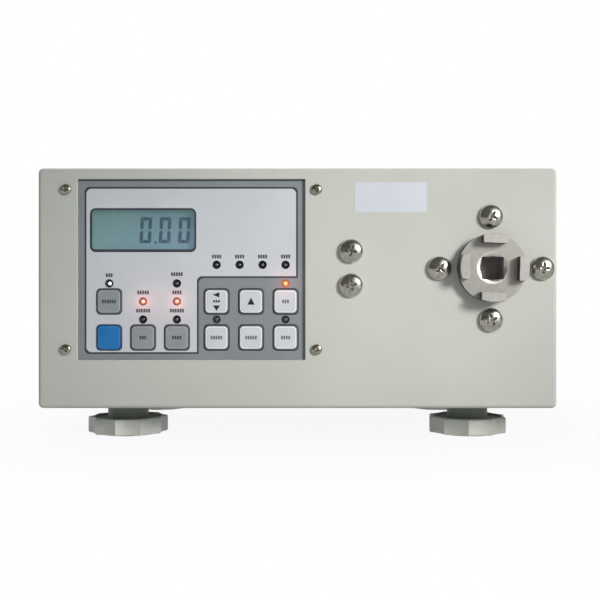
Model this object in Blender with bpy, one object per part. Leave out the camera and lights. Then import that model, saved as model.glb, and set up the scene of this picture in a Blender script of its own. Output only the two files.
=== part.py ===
"""Digital torque meter: a bench instrument in a formed sheet-steel case.

A keypad and a display sit in a recess on the left of the front panel. A
clawed torque socket stands out on the right: its shaft runs in two bearings
and pulls on a bending beam through a lever. The case rests on four levelling
feet, which are fluted wheels on threaded studs.

Metres, +Z up. The front panel faces -Y. The origin lies on the bench, at the
middle of the footprint. Pieces hang from an empty at the lower edge of the
front panel, so their places read as (x, depth behind the panel, height).
"""

import math

import bmesh
import bpy
from mathutils import Matrix

# Clearances
GAP = 0.0003  # between pieces that seat on each other
BOSS_CLEAR = 0.0010  # round the boss of the socket, which touches nothing

# Sheet metal
SHEET = 0.0016
CORNER_RADIUS = 0.0025  # of the case, seen from the front
EDGE_RADIUS = 0.0020  # of the bend round the front panel
PAN_DEPTH = 0.0120
CASE_DEPTH = 0.2000
RETURN_FLANGE = 0.0120  # folded inwards at the back of the cover
TRAY_FLANGE = 0.0160

# Recessed panel, and the window in the front panel that shows it
PANEL_THICKNESS = 0.0020
PANEL_LAP_SIDE = 0.01072  # behind the front panel, left and right of the window
PANEL_LAP_END = 0.0026  # above and below the window
PANEL_ROOM_SIDE = 0.00734  # from the recessed panel to the case wall
PANEL_ROOM_END = 0.00135
PANEL_SCREW_OUT = 0.0057  # beside the window
PANEL_SCREW_DOWN = 0.0052  # from its upper and lower edges
WINDOW_BASE = 0.02406  # above the bottom of the case
POST_RADIUS = 0.0030
POST_OUT = 0.0040
POST_PITCH = 0.0500

# Keys
KEY_WIDTH = 0.0125
KEY_HEIGHT = 0.0127
KEY_CORNER = 0.0019
KEY_BEVEL = 0.0005
KEY_PROUD = 0.0010
KEY_PLAY = 0.00025
KEY_LIP = 0.00075
KEY_FLANGE = 0.0012
KEY_STEM = 0.0040
KEY_STEM_LENGTH = 0.0020
KEY_TRAVEL = 0.0008
LEFT_KEY_SPACE = 0.00435
RIGHT_KEY_SPACE = 0.00467
KEY_BLOCK_SPACE = 0.00727
KEY_MARGIN = 0.00346
KEY_BASE = 0.00474

# Indicator lamps
LAMP_DIAMETER = 0.0030
LAMP_CLEAR = 0.000375
LAMP_SINK = 0.0003
STATUS_RISE = 0.0093

# Display
DISPLAY_WIDTH = 0.0521
DISPLAY_HEIGHT = 0.02104
DISPLAY_CORNER = 0.0024
DISPLAY_MARGIN = 0.00624
DISPLAY_SPACE = 0.00523
DISPLAY_LIP = 0.0015
DISPLAY_LIP_THICKNESS = 0.0008
DISPLAY_BORDER = 0.0030
TITLE_SPACE = 0.01468

# Circuit board
BOARD_THICKNESS = 0.0016
BOARD_EDGE = 0.0010
SWITCH_WIDTH = 0.0060
SWITCH_HEIGHT = 0.0035
PLUNGER_RADIUS = 0.00175
PLUNGER_HEIGHT = 0.0008

# Screws
SMALL_SCREW_RADIUS = 0.0015
SMALL_HEAD_RADIUS = 0.0027
SMALL_HEAD_HEIGHT = 0.0016
SMALL_SCREW_BITE = 0.0015  # past the last piece it holds
BIG_SCREW_RADIUS = 0.0030
BIG_HEAD_RADIUS = 0.0059
BIG_HEAD_HEIGHT = 0.0034
RECESS_SPAN = 0.0068
RECESS_WIDTH = 0.0014
RECESS_DEPTH = 0.0020
SIDE_SCREW_HEIGHT = 0.0095
SIDE_SCREW_INSET = 0.0140
REAR_SCREW_INSET = 0.0075

# Torque socket
SOCKET_RADIUS = 0.0169
SOCKET_THICKNESS = 0.0043
SOCKET_STANDOFF = 0.0005
SOCKET_CHAMFER = 0.0004
JAW_HEIGHT = 0.0060
JAW_INNER = 0.0121
JAW_WIDTH = 0.0118
JAW_TURN = math.radians(-2)
DRIVE_SQUARE = 0.0110
DRIVE_CORNER = 0.0006
DRIVE_DEPTH = 0.0120
MOUTH_RADIUS = 0.0080
MOUTH_DEPTH = 0.0026
BOSS_RADIUS = 0.0130
BOSS_LENGTH = 0.0085
SHAFT_RADIUS = 0.0075

# Bearing housing
HEAD_RISE = 0.0099  # of the socket above mid height
HEAD_SPACE = 0.0028  # between the socket and the heads round it
HEAD_ROOM = 0.00156  # from the housing to the case wall
FLANGE_EDGE = 0.0009
FLANGE_THICKNESS = 0.0080
BEARING_RADIUS = 0.0160
BEARING_WIDTH = 0.0090
RACE_HEIGHT = 0.0020
SHIELD_SINK = 0.0004
HUB_WALL = 0.0037
HUB_LIP = 0.0015

# Lever and bending beam
BLOCK_DEPTH = 0.0200
BLOCK_SIDE = 0.0057
BLOCK_END = 0.0042
BLOCK_ROOM = 0.00306
BEAM_PITCH = 0.0170  # between the two big screws that carry it
BEAM_THICKNESS = 0.0120
BEAM_HEIGHT = 0.0160
BEAM_SCREW_PITCH = 0.0090
GAUGE_RADIUS = 0.0055
GAUGE_PITCH = 0.0120
GAUGE_SLOT = 0.0040
GAUGE_MARGIN = 0.00327
LINK_END = 0.0065
HUB_CLEAR = 0.0043
ARM_THICKNESS = 0.0080
ARM_WALL = 0.0072
ARM_TIP = 0.0060
CLAMP_SLIT = 0.0016
SHAFT_END = 0.0020

# Levelling feet
FOOT_INSET_SIDE = 0.03785
FOOT_INSET_END = 0.0400
WHEEL_RADIUS = 0.0210
WHEEL_THICKNESS = 0.0086
WHEEL_CHAMFER = 0.0006
FLUTES = 10
FLUTE_DEPTH = 0.0011
PAD_RADIUS = 0.0160
PAD_PROUD = 0.0006
PAD_SUNK = 0.0020
NECK_RADIUS = 0.01075
NECK_SHOWN = 0.0081  # between the wheel and the bottom of the case
STUD_RADIUS = 0.0040
STUD_SPARE = 0.0020
NUT_RADIUS = 0.0075
NUT_HEIGHT = 0.0065

# Battery pack
CELL_RADIUS = 0.01125
CELL_LENGTH = 0.0430
CELLS = 4
CELL_OVERLAP = 0.0004
BATTERY_FROM_REAR = 0.0580
STRAP_THICKNESS = 0.0012
STRAP_WIDTH = 0.0200
STRAP_FOOT = 0.0100

# Sockets on the back
PORT_PITCH = 0.1200
PLUG_FLANGE_WIDTH = 0.0308
PLUG_FLANGE_HEIGHT = 0.0125
PLUG_FLANGE_THICKNESS = 0.0009
PLUG_SHELL_WIDTH = 0.0165
PLUG_SHELL_HEIGHT = 0.0083
PLUG_SHELL_DEPTH = 0.0058
PLUG_BODY_DEPTH = 0.0100
PLUG_SCREW_PITCH = 0.0250
PLUG_SCREW_RADIUS = 0.0028
PLUG_SCREW_HEIGHT = 0.0048
JACK_BODY_RADIUS = 0.0060
JACK_BODY_LENGTH = 0.0100
JACK_THREAD_RADIUS = 0.0040
JACK_NUT_RADIUS = 0.0064
JACK_NUT_HEIGHT = 0.0022
JACK_PROUD = 0.0040
JACK_BORE = 0.0027
JACK_BORE_DEPTH = 0.0080

# Depths behind the face of the front panel
PANEL_FRONT = SHEET + GAP
PANEL_BACK = PANEL_FRONT + PANEL_THICKNESS
KEY_FRONT = PANEL_FRONT - KEY_PROUD
FLANGE_FRONT = PANEL_BACK + GAP
FLANGE_BACK = FLANGE_FRONT + KEY_FLANGE
STEM_END = FLANGE_BACK + KEY_STEM_LENGTH
PLUNGER_TIP = STEM_END + KEY_TRAVEL + GAP
BOARD_FRONT = PLUNGER_TIP + PLUNGER_HEIGHT + SWITCH_HEIGHT
BLOCK_BACK = PANEL_FRONT + BLOCK_DEPTH
BEAM_FRONT = BLOCK_BACK + GAP
BEAM_BACK = BEAM_FRONT + BEAM_THICKNESS
ARM_FRONT = BEAM_BACK + GAP
ARM_BACK = ARM_FRONT + ARM_THICKNESS
HOUSING_BACK = PANEL_FRONT + FLANGE_THICKNESS
BEARING_FRONT = BOSS_LENGTH + 2 * GAP
BEARING_BACK = BEARING_FRONT + 2 * BEARING_WIDTH + GAP
HUB_BACK = BEARING_BACK + HUB_LIP
REAR_BACK = CASE_DEPTH - SHEET - GAP
REAR_FRONT = REAR_BACK - SHEET
TRAY_BACK = REAR_FRONT - GAP

# Radii that follow from what they hold
HUB_RADIUS = BEARING_RADIUS + GAP + HUB_WALL
HEAD_PITCH_RADIUS = SOCKET_RADIUS + BIG_HEAD_RADIUS + HEAD_SPACE
HOUSING_RADIUS = HEAD_PITCH_RADIUS + BIG_SCREW_RADIUS + GAP + FLANGE_EDGE
BIG_SCREW_LENGTH = HOUSING_BACK - 2 * GAP
LINK_REACH = HUB_RADIUS + HUB_CLEAR + LINK_END
BLOCK_WIDTH = 2 * (BIG_SCREW_RADIUS + GAP + BLOCK_SIDE)
BLOCK_HEIGHT = BEAM_PITCH + 2 * (BIG_SCREW_RADIUS + GAP + BLOCK_END)
GAUGE_LENGTH = GAUGE_PITCH + 2 * GAUGE_RADIUS + 2 * GAUGE_MARGIN
LEVER_LENGTH = BLOCK_WIDTH / 2 + GAUGE_LENGTH + LINK_REACH

# Across the front panel
LEFT_PITCH = KEY_WIDTH + LEFT_KEY_SPACE
RIGHT_PITCH = KEY_WIDTH + RIGHT_KEY_SPACE
WINDOW_WIDTH = (
    DISPLAY_MARGIN
    + DISPLAY_WIDTH / 2
    + LEFT_PITCH
    + KEY_WIDTH
    + KEY_BLOCK_SPACE
    + 2 * RIGHT_PITCH
    + KEY_WIDTH / 2
    + KEY_MARGIN
)
WINDOW_INSET = SHEET + PANEL_ROOM_SIDE + PANEL_LAP_SIDE
CASE_WIDTH = (
    WINDOW_INSET
    + WINDOW_WIDTH
    + PANEL_LAP_SIDE
    + BLOCK_ROOM
    + BLOCK_WIDTH / 2
    + LEVER_LENGTH
    + HOUSING_RADIUS
    + HEAD_ROOM
    + SHEET
)
HALF_WIDTH = CASE_WIDTH / 2
WINDOW_LEFT = WINDOW_INSET - HALF_WIDTH
WINDOW_X = WINDOW_LEFT + WINDOW_WIDTH / 2
DISPLAY_X = WINDOW_LEFT + DISPLAY_MARGIN + DISPLAY_WIDTH / 2
LEFT_COLUMNS = [DISPLAY_X + k * LEFT_PITCH for k in (-1, 0, 1)]
RIGHT_COLUMNS = [
    LEFT_COLUMNS[2] + KEY_WIDTH + KEY_BLOCK_SPACE + k * RIGHT_PITCH for k in range(3)
]
SOCKET_X = HALF_WIDTH - SHEET - HEAD_ROOM - HOUSING_RADIUS
BEAM_X = SOCKET_X - LEVER_LENGTH
LINK_X = SOCKET_X - LINK_REACH

# Up the front panel
ROW_PITCH = KEY_HEIGHT + LAMP_DIAMETER + 2 * (KEY_LIP + LAMP_CLEAR)
LOWER_ROW = WINDOW_BASE + KEY_BASE + KEY_HEIGHT / 2
UPPER_ROW = LOWER_ROW + ROW_PITCH
LAMPS_BETWEEN = LOWER_ROW + ROW_PITCH / 2
LAMPS_ABOVE = UPPER_ROW + ROW_PITCH / 2
LAMPS_STATUS = LAMPS_ABOVE + STATUS_RISE
DISPLAY_Z = LAMPS_STATUS + LAMP_DIAMETER / 2 + DISPLAY_SPACE + DISPLAY_HEIGHT / 2
WINDOW_TOP = DISPLAY_Z + DISPLAY_HEIGHT / 2 + TITLE_SPACE
WINDOW_HEIGHT = WINDOW_TOP - WINDOW_BASE
WINDOW_Z = WINDOW_BASE + WINDOW_HEIGHT / 2
CASE_HEIGHT = WINDOW_TOP + PANEL_LAP_END + PANEL_ROOM_END + SHEET
HEAD_Z = CASE_HEIGHT / 2 + HEAD_RISE

# Case on its feet, with the origin under the middle of the whole
CASE_BASE = PAD_PROUD + WHEEL_THICKNESS + NECK_SHOWN
FRONT_PROUD = SOCKET_STANDOFF + SOCKET_THICKNESS + JAW_HEIGHT
REAR_PROUD = max(
    PLUG_FLANGE_THICKNESS + max(PLUG_SHELL_DEPTH, PLUG_SCREW_HEIGHT) + REAR_BACK + GAP,
    JACK_PROUD + REAR_BACK,
    GAP + SMALL_HEAD_HEIGHT + CASE_DEPTH,
) - CASE_DEPTH
CASE_FRONT = (FRONT_PROUD - REAR_PROUD - CASE_DEPTH) / 2

UP = Matrix.Rotation(math.radians(90), 4, "X")  # turns +Y to +Z
ACROSS = Matrix.Rotation(math.radians(-90), 4, "Z")  # turns +Y to +X


def make_material(name, srgb, roughness, metallic=0.0, alpha=1.0):
    material = bpy.data.materials.new(name)
    material.use_nodes = True
    shader = material.node_tree.nodes["Principled BSDF"]
    colour = [((c / 255 + 0.055) / 1.055) ** 2.4 for c in srgb]
    shader.inputs["Base Color"].default_value = (*colour, 1.0)
    shader.inputs["Roughness"].default_value = roughness
    shader.inputs["Metallic"].default_value = metallic
    shader.inputs["Alpha"].default_value = alpha
    return material


def arc(cx, cz, radius, start, stop, steps):
    """Points of an arc with both its ends, angles in degrees."""
    angles = [math.radians(start + (stop - start) * k / steps) for k in range(steps + 1)]
    return [(cx + radius * math.cos(a), cz + radius * math.sin(a)) for a in angles]


def circle(radius, steps, cx=0.0, cz=0.0, start=0.0):
    return arc(cx, cz, radius, start, start + 360, steps)[:-1]


def rounded_rectangle(width, height, radius, steps, cx=0.0, cz=0.0):
    points = []
    for sx, sz, start in ((1, 1, 0), (-1, 1, 90), (-1, -1, 180), (1, -1, 270)):
        middle = (cx + sx * (width / 2 - radius), cz + sz * (height / 2 - radius))
        points += arc(*middle, radius, start, start + 90, steps)
    return points


def rectangle(width, height, cx=0.0, cz=0.0):
    x, z = width / 2, height / 2
    return [(cx + x, cz + z), (cx - x, cz + z), (cx - x, cz - z), (cx + x, cz - z)]


def ring_faces(bm, near, far):
    """Quads between two rings of vertices, or a fan where one ring is a point."""
    count = max(len(near), len(far))
    for i in range(count):
        j = (i + 1) % count
        corners = [near[i % len(near)], near[j % len(near)]]
        corners += [far[j % len(far)], far[i % len(far)]]
        bm.faces.new(list(dict.fromkeys(corners)))


def loft(bm, sections, matrix=None):
    """A closed solid through outlines in XZ, each at its own depth along Y."""
    rings = [[bm.verts.new((x, y, z)) for x, z in line] for line, y in sections]
    for near, far in zip(rings, rings[1:]):
        ring_faces(bm, near, far)
    bm.faces.new(rings[0])
    bm.faces.new(rings[-1])
    if matrix:
        bmesh.ops.transform(bm, matrix=matrix, verts=[v for r in rings for v in r])


def prism(bm, outline, start, stop, matrix=None):
    loft(bm, [(outline, start), (outline, stop)], matrix)


def turned(bm, profile, steps, matrix=None, hollow=False):
    """A profile of (radius, depth) revolved about Y. A hollow one is a ring."""
    rings = []
    for radius, y in profile:
        places = circle(radius, steps) if radius else [(0.0, 0.0)]
        rings.append([bm.verts.new((x, y, z)) for x, z in places])
    pairs = list(zip(rings, rings[1:]))
    if hollow:
        pairs.append((rings[-1], rings[0]))
    for near, far in pairs:
        ring_faces(bm, near, far)
    if matrix:
        bmesh.ops.transform(bm, matrix=matrix, verts=[v for r in rings for v in r])


def at(x=0.0, y=0.0, z=0.0):
    return Matrix.Translation((x, y, z))


def finish(bm, name, outward=None):
    """The mesh, with its faces outwards. A sheet names the way its largest face looks."""
    bmesh.ops.recalc_face_normals(bm, faces=bm.faces)
    if outward:
        largest = max(bm.faces, key=lambda face: face.calc_area())
        if sum(a * b for a, b in zip(largest.normal, outward)) < 0:
            bmesh.ops.reverse_faces(bm, faces=bm.faces)
    mesh = bpy.data.meshes.new(name)
    bm.to_mesh(mesh)
    bm.free()
    mesh.shade_smooth()
    mesh.set_sharp_from_angle(angle=math.radians(35))
    return mesh


def add(name, mesh, material, location=(0, 0, 0), rotation=(0, 0, 0), parent=None):
    obj = bpy.data.objects.new(name, mesh)
    obj.location = location
    obj.rotation_euler = rotation
    obj.parent = parent or case_frame
    if not mesh.materials:
        mesh.materials.append(material)
    obj.material_slots[0].link = "OBJECT"
    obj.material_slots[0].material = material
    bpy.context.scene.collection.objects.link(obj)
    return obj


def helper(name, bm, location=(0, 0, 0), parent=None):
    """A hidden solid that cuts another, or is joined to it."""
    obj = bpy.data.objects.new(name, finish(bm, name))
    obj.location = location
    obj.parent = parent or case_frame
    obj.hide_render = True
    obj.display_type = "WIRE"
    bpy.context.scene.collection.objects.link(obj)
    return obj


def boolean(target, operation, tool):
    modifier = target.modifiers.new(tool.name, "BOOLEAN")
    modifier.operation = operation
    modifier.object = tool
    modifier.solver = "EXACT"


def solidify(target, thickness):
    modifier = target.modifiers.new("sheet", "SOLIDIFY")
    modifier.thickness = thickness
    modifier.offset = -1
    modifier.use_even_offset = True


def baked(target):
    """The mesh that the modifiers of a pattern piece give, for its copies to share."""
    graph = bpy.context.evaluated_depsgraph_get()
    mesh = bpy.data.meshes.new_from_object(target.evaluated_get(graph))
    tools = [m.object for m in target.modifiers if m.type == "BOOLEAN"]
    for obj in [target, *tools]:
        bpy.data.objects.remove(obj, do_unlink=True)
    return mesh


def sweep_edges(bm, edges, offset):
    """Extrude edges of a sheet by an offset and return the new edges."""
    made = bmesh.ops.extrude_edge_only(bm, edges=edges)["geom"]
    moved = [item for item in made if isinstance(item, bmesh.types.BMVert)]
    bmesh.ops.translate(bm, verts=moved, vec=offset)
    return [
        item
        for item in made
        if isinstance(item, bmesh.types.BMEdge) and all(v in moved for v in item.verts)
    ]


def bend(bm, edges, radius):
    bmesh.ops.bevel(
        bm,
        geom=edges,
        offset=radius,
        offset_type="OFFSET",
        segments=2,
        profile=0.5,
        affect="EDGES",
    )


def screw_mesh(name, radius, head, height, length, steps, cross=False):
    """A pan-head screw along +Y whose head stands a gap off the plane y = 0."""
    shoulder = -GAP
    dome = [(0.50, 0.97), (0.82, 0.76), (1.0, 0.34)] if cross else [(0.72, 0.86), (1.0, 0.4)]
    profile = [
        (0.0, shoulder - height),
        *((head * out, shoulder - height * up) for out, up in dome),
        (head, shoulder),
        (radius, shoulder),
        (radius, length),
        (0.0, length),
    ]
    bm = bmesh.new()
    turned(bm, profile, steps)
    if not cross:
        return finish(bm, name)
    blank = add(name, finish(bm, name), steel)
    for k, turn in enumerate((0, 90)):
        bm = bmesh.new()
        floor = shoulder - height + RECESS_DEPTH
        wide = rectangle(RECESS_SPAN, RECESS_WIDTH)
        narrow = rectangle(RECESS_SPAN * 0.45, RECESS_WIDTH * 0.6)
        loft(
            bm,
            [(wide, shoulder - height - GAP), (narrow, floor)],
            Matrix.Rotation(math.radians(turn), 4, "Y"),
        )
        boolean(blank, "DIFFERENCE", helper(f"{name}_recess_{k}", bm))
    return baked(blank)


def front_view_holes(name, holes, start, stop):
    bm = bmesh.new()
    for outline in holes:
        prism(bm, outline, start, stop)
    return helper(name, bm)


for leftover in list(bpy.data.objects):
    bpy.data.objects.remove(leftover, do_unlink=True)

torque_meter = bpy.data.objects.new("torque_meter_frame", None)
case_frame = bpy.data.objects.new("case_frame", None)
case_frame.location = (0, CASE_FRONT, CASE_BASE)
case_frame.parent = torque_meter
for empty in (torque_meter, case_frame):
    bpy.context.scene.collection.objects.link(empty)

paint = make_material("beige_paint", (200, 200, 190), 0.55)
zinc = make_material("zinc_sheet", (172, 174, 176), 0.42, 0.9)
grey_film = make_material("grey_film", (125, 130, 135), 0.5)
clear_lens = make_material("clear_lens", (160, 185, 190), 0.12, 0.0, 0.35)
display_glass = make_material("display_glass", (116, 138, 142), 0.3)
board_green = make_material("board_green", (44, 96, 62), 0.55)
key_blue = make_material("key_blue", (35, 105, 170), 0.45)
key_grey = make_material("key_grey", (125, 130, 135), 0.5)
key_white = make_material("key_white", (210, 214, 216), 0.5)
steel = make_material("bright_steel", (196, 194, 190), 0.22, 1.0)
socket_steel = make_material("socket_steel", (190, 186, 182), 0.34, 0.9)
bearing_steel = make_material("bearing_steel", (170, 172, 175), 0.25, 1.0)
dull_aluminium = make_material("dull_aluminium", (178, 180, 182), 0.42, 0.9)
wheel_grey = make_material("wheel_grey", (160, 160, 158), 0.38, 0.3)
rubber = make_material("black_rubber", (34, 34, 36), 0.85)
black_plastic = make_material("black_plastic", (40, 40, 43), 0.5)
cell_wrap = make_material("cell_wrap", (60, 110, 150), 0.45)
strap_steel = make_material("strap_steel", (150, 152, 154), 0.45, 0.9)

# Holes that the front panel shares with what is fixed to it
PANEL_SCREWS = [
    (WINDOW_X + sx * (WINDOW_WIDTH / 2 + PANEL_SCREW_OUT), WINDOW_Z + sz * (WINDOW_HEIGHT / 2 - PANEL_SCREW_DOWN))
    for sz in (1, -1)
    for sx in (-1, 1)
]
HEAD_SCREWS = [
    (SOCKET_X + HEAD_PITCH_RADIUS * sx, HEAD_Z + HEAD_PITCH_RADIUS * sz)
    for sx, sz in ((0, 1), (1, 0), (0, -1), (-1, 0))
]
BEAM_CARRIERS = [(BEAM_X, HEAD_Z + s * BEAM_PITCH / 2) for s in (1, -1)]
SMALL_HOLE = SMALL_SCREW_RADIUS + GAP
BIG_HOLE = BIG_SCREW_RADIUS + GAP
small_holes = [circle(SMALL_HOLE, 8, x, z) for x, z in PANEL_SCREWS]
head_holes = [circle(BIG_HOLE, 12, x, z) for x, z in HEAD_SCREWS]
beam_holes = [circle(BIG_HOLE, 12, x, z) for x, z in BEAM_CARRIERS]

# Front panel: a shallow pan, bent round all four sides
bm = bmesh.new()
outline = rounded_rectangle(CASE_WIDTH, CASE_HEIGHT, CORNER_RADIUS, 3, 0, CASE_HEIGHT / 2)
face = bm.faces.new([bm.verts.new((x, 0, z)) for x, z in outline])
rim = face.edges[:]
sweep_edges(bm, rim, (0, PAN_DEPTH, 0))
bend(bm, rim, EDGE_RADIUS)
front_panel = add("front_panel", finish(bm, "front_panel", (0, -1, 0)), paint)
solidify(front_panel, SHEET)
window = rectangle(WINDOW_WIDTH, WINDOW_HEIGHT, WINDOW_X, WINDOW_Z)
boss_hole = circle(BOSS_RADIUS + BOSS_CLEAR, 32, SOCKET_X, HEAD_Z)
boolean(
    front_panel,
    "DIFFERENCE",
    front_view_holes(
        "front_panel_holes",
        [window, boss_hole, *small_holes, *head_holes, *beam_holes],
        -2 * SHEET,
        2 * SHEET,
    ),
)

# Tray: the floor of the case, with flanges up both sides and the back
TRAY_HALF = HALF_WIDTH - SHEET - GAP
TRAY_BASE = SHEET + GAP
TRAY_TOP = TRAY_BASE + SHEET
bm = bmesh.new()
corners = [
    bm.verts.new((x, y, TRAY_BASE))
    for x, y in (
        (-TRAY_HALF, PANEL_FRONT),
        (TRAY_HALF, PANEL_FRONT),
        (TRAY_HALF, TRAY_BACK),
        (-TRAY_HALF, TRAY_BACK),
    )
]
floor = bm.faces.new(corners)
folds = [e for e in floor.edges if any(v.co.y > PANEL_FRONT + GAP for v in e.verts)]
sweep_edges(bm, folds, (0, 0, TRAY_FLANGE))
uprights = [
    e
    for e in bm.edges
    if abs(e.verts[0].co.z - e.verts[1].co.z) > GAP
    and e.verts[0].co.y > PANEL_FRONT + GAP
]
bend(bm, folds + uprights, SHEET + GAP)
base_tray = add("base_tray", finish(bm, "base_tray", (0, 0, -1)), zinc)
solidify(base_tray, SHEET)

# Weld nuts for the feet, and the holes for their studs
FEET = [
    (sx * (HALF_WIDTH - FOOT_INSET_SIDE), depth)
    for depth in (FOOT_INSET_END, CASE_DEPTH - FOOT_INSET_END)
    for sx in (-1, 1)
]
bm = bmesh.new()
for x, y in FEET:
    nut = circle(NUT_RADIUS, 6)
    prism(bm, nut, TRAY_TOP - SHEET / 2, TRAY_TOP + NUT_HEIGHT, at(x, y) @ UP)
boolean(base_tray, "UNION", helper("weld_nuts", bm))
bm = bmesh.new()
for x, y in FEET:
    bore = circle(STUD_RADIUS + GAP, 16)
    prism(bm, bore, -SHEET, TRAY_TOP + NUT_HEIGHT + SHEET, at(x, y) @ UP)
boolean(base_tray, "DIFFERENCE", helper("stud_holes", bm))

# Cover: top and sides in one sheet, with a flange folded in at the back
COVER_FRONT = PAN_DEPTH + GAP


def hoop(inset, radius, steps=3):
    """Up the left wall, over the top and down the right wall."""
    x, top = HALF_WIDTH - inset, CASE_HEIGHT - inset
    left = arc(radius - x, top - radius, radius, 180, 90, steps)
    right = arc(x - radius, top - radius, radius, 90, 0, steps)
    return [(-x, 0.0), *left, *right, (x, 0.0)]


bm = bmesh.new()
strips = []
for line, y in (
    (hoop(0, CORNER_RADIUS), COVER_FRONT),
    (hoop(0, CORNER_RADIUS), CASE_DEPTH),
    (hoop(RETURN_FLANGE, CORNER_RADIUS), CASE_DEPTH),
):
    strips.append([bm.verts.new((x, y, z)) for x, z in line])
for near, far in zip(strips, strips[1:]):
    for a, b, c, d in zip(near, near[1:], far[1:], far):
        bm.faces.new((a, b, c, d))
corner_line = [bm.edges.get(pair) for pair in zip(strips[1], strips[1][1:])]
bend(bm, corner_line, EDGE_RADIUS)
top_cover = add("top_cover", finish(bm, "top_cover", (0, 0, 1)), paint)
solidify(top_cover, SHEET)

# Screws through the sides of the cover into the tray
SIDE_DEPTHS = (COVER_FRONT + SIDE_SCREW_INSET, TRAY_BACK - SIDE_SCREW_INSET)
bm = bmesh.new()
for s in (-1, 1):
    for depth in SIDE_DEPTHS:
        hole = circle(SMALL_HOLE, 8)
        place = at(s * HALF_WIDTH, depth, SIDE_SCREW_HEIGHT) @ ACROSS
        prism(bm, hole, -4 * SHEET, 4 * SHEET, place)
side_holes = helper("side_screw_holes", bm)
boolean(top_cover, "DIFFERENCE", side_holes)
boolean(base_tray, "DIFFERENCE", side_holes)

# Rear panel, held inside the folded flange of the cover
rear_low = TRAY_TOP + GAP
rear_high = CASE_HEIGHT - SHEET - GAP
bm = bmesh.new()
prism(
    bm,
    rounded_rectangle(2 * TRAY_HALF, rear_high - rear_low, SHEET, 2, 0, (rear_high + rear_low) / 2),
    REAR_FRONT,
    REAR_BACK,
)
rear_panel = add("rear_panel", finish(bm, "rear_panel"), paint)
PORT_Z = CASE_HEIGHT / 2
JACK_X, PLUG_X = -PORT_PITCH / 2, PORT_PITCH / 2
plug_hole = rectangle(
    PLUG_SHELL_WIDTH + 2 * GAP, PLUG_SHELL_HEIGHT + 2 * GAP, PLUG_X, PORT_Z
)
jack_hole = circle(JACK_THREAD_RADIUS + GAP, 16, JACK_X, PORT_Z)
boolean(
    rear_panel,
    "DIFFERENCE",
    front_view_holes("rear_port_holes", [plug_hole, jack_hole], REAR_FRONT - SHEET, CASE_DEPTH),
)
REAR_SCREWS = [
    (sx * (HALF_WIDTH - REAR_SCREW_INSET), z)
    for z in (CASE_HEIGHT - REAR_SCREW_INSET, TRAY_BASE + REAR_SCREW_INSET)
    for sx in (-1, 1)
]
rear_holes = front_view_holes(
    "rear_screw_holes",
    [circle(SMALL_HOLE, 8, x, z) for x, z in REAR_SCREWS],
    TRAY_BACK - 2 * SHEET,
    CASE_DEPTH + SHEET,
)
for sheet in (rear_panel, top_cover, base_tray):
    boolean(sheet, "DIFFERENCE", rear_holes)

# Recessed panel with its openings, and posts behind it for the circuit board
LEFT_KEYS = [(LEFT_COLUMNS[0], UPPER_ROW)] + [(x, LOWER_ROW) for x in LEFT_COLUMNS]
RIGHT_KEYS = [(x, z) for z in (UPPER_ROW, LOWER_ROW) for x in RIGHT_COLUMNS]
LAMPS = [
    (LEFT_COLUMNS[0], LAMPS_ABOVE),
    (LEFT_COLUMNS[2], LAMPS_ABOVE),
    (RIGHT_COLUMNS[2], LAMPS_ABOVE),
    (LEFT_COLUMNS[1], UPPER_ROW),
    (LEFT_COLUMNS[2], UPPER_ROW),
    (LEFT_COLUMNS[1], LAMPS_BETWEEN),
    (LEFT_COLUMNS[2], LAMPS_BETWEEN),
    (RIGHT_COLUMNS[0], LAMPS_BETWEEN),
    (RIGHT_COLUMNS[2], LAMPS_BETWEEN),
] + [
    (RIGHT_COLUMNS[0] + k * 2 * RIGHT_PITCH / 3, LAMPS_STATUS) for k in range(4)
]
POSTS = [
    (WINDOW_X + sx * (WINDOW_WIDTH / 2 + POST_OUT), WINDOW_Z + sz * POST_PITCH / 2)
    for sx in (-1, 1)
    for sz in (-1, 1)
]
bm = bmesh.new()
prism(
    bm,
    rounded_rectangle(
        WINDOW_WIDTH + 2 * PANEL_LAP_SIDE,
        WINDOW_HEIGHT + 2 * PANEL_LAP_END,
        SHEET,
        2,
        WINDOW_X,
        WINDOW_Z,
    ),
    PANEL_FRONT,
    PANEL_BACK,
)
key_panel = add("key_panel", finish(bm, "key_panel"), grey_film)
bm = bmesh.new()
for x, z in POSTS:
    prism(bm, circle(POST_RADIUS, 10, x, z), PANEL_BACK - PANEL_THICKNESS / 2, BOARD_FRONT - GAP)
boolean(key_panel, "UNION", helper("board_posts", bm))
key_holes = [
    rounded_rectangle(KEY_WIDTH + 2 * KEY_PLAY, KEY_HEIGHT + 2 * KEY_PLAY, KEY_CORNER, 2, x, z)
    for x, z in LEFT_KEYS + RIGHT_KEYS
]
lamp_holes = [circle(LAMP_DIAMETER / 2 + GAP, 8, x, z) for x, z in LAMPS]
display_hole = rounded_rectangle(
    DISPLAY_WIDTH, DISPLAY_HEIGHT, DISPLAY_CORNER, 3, DISPLAY_X, DISPLAY_Z
)
boolean(
    key_panel,
    "DIFFERENCE",
    front_view_holes(
        "key_panel_holes",
        [display_hole, *key_holes, *lamp_holes, *small_holes],
        PANEL_FRONT - PANEL_THICKNESS,
        PANEL_BACK + PANEL_THICKNESS,
    ),
)

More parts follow.
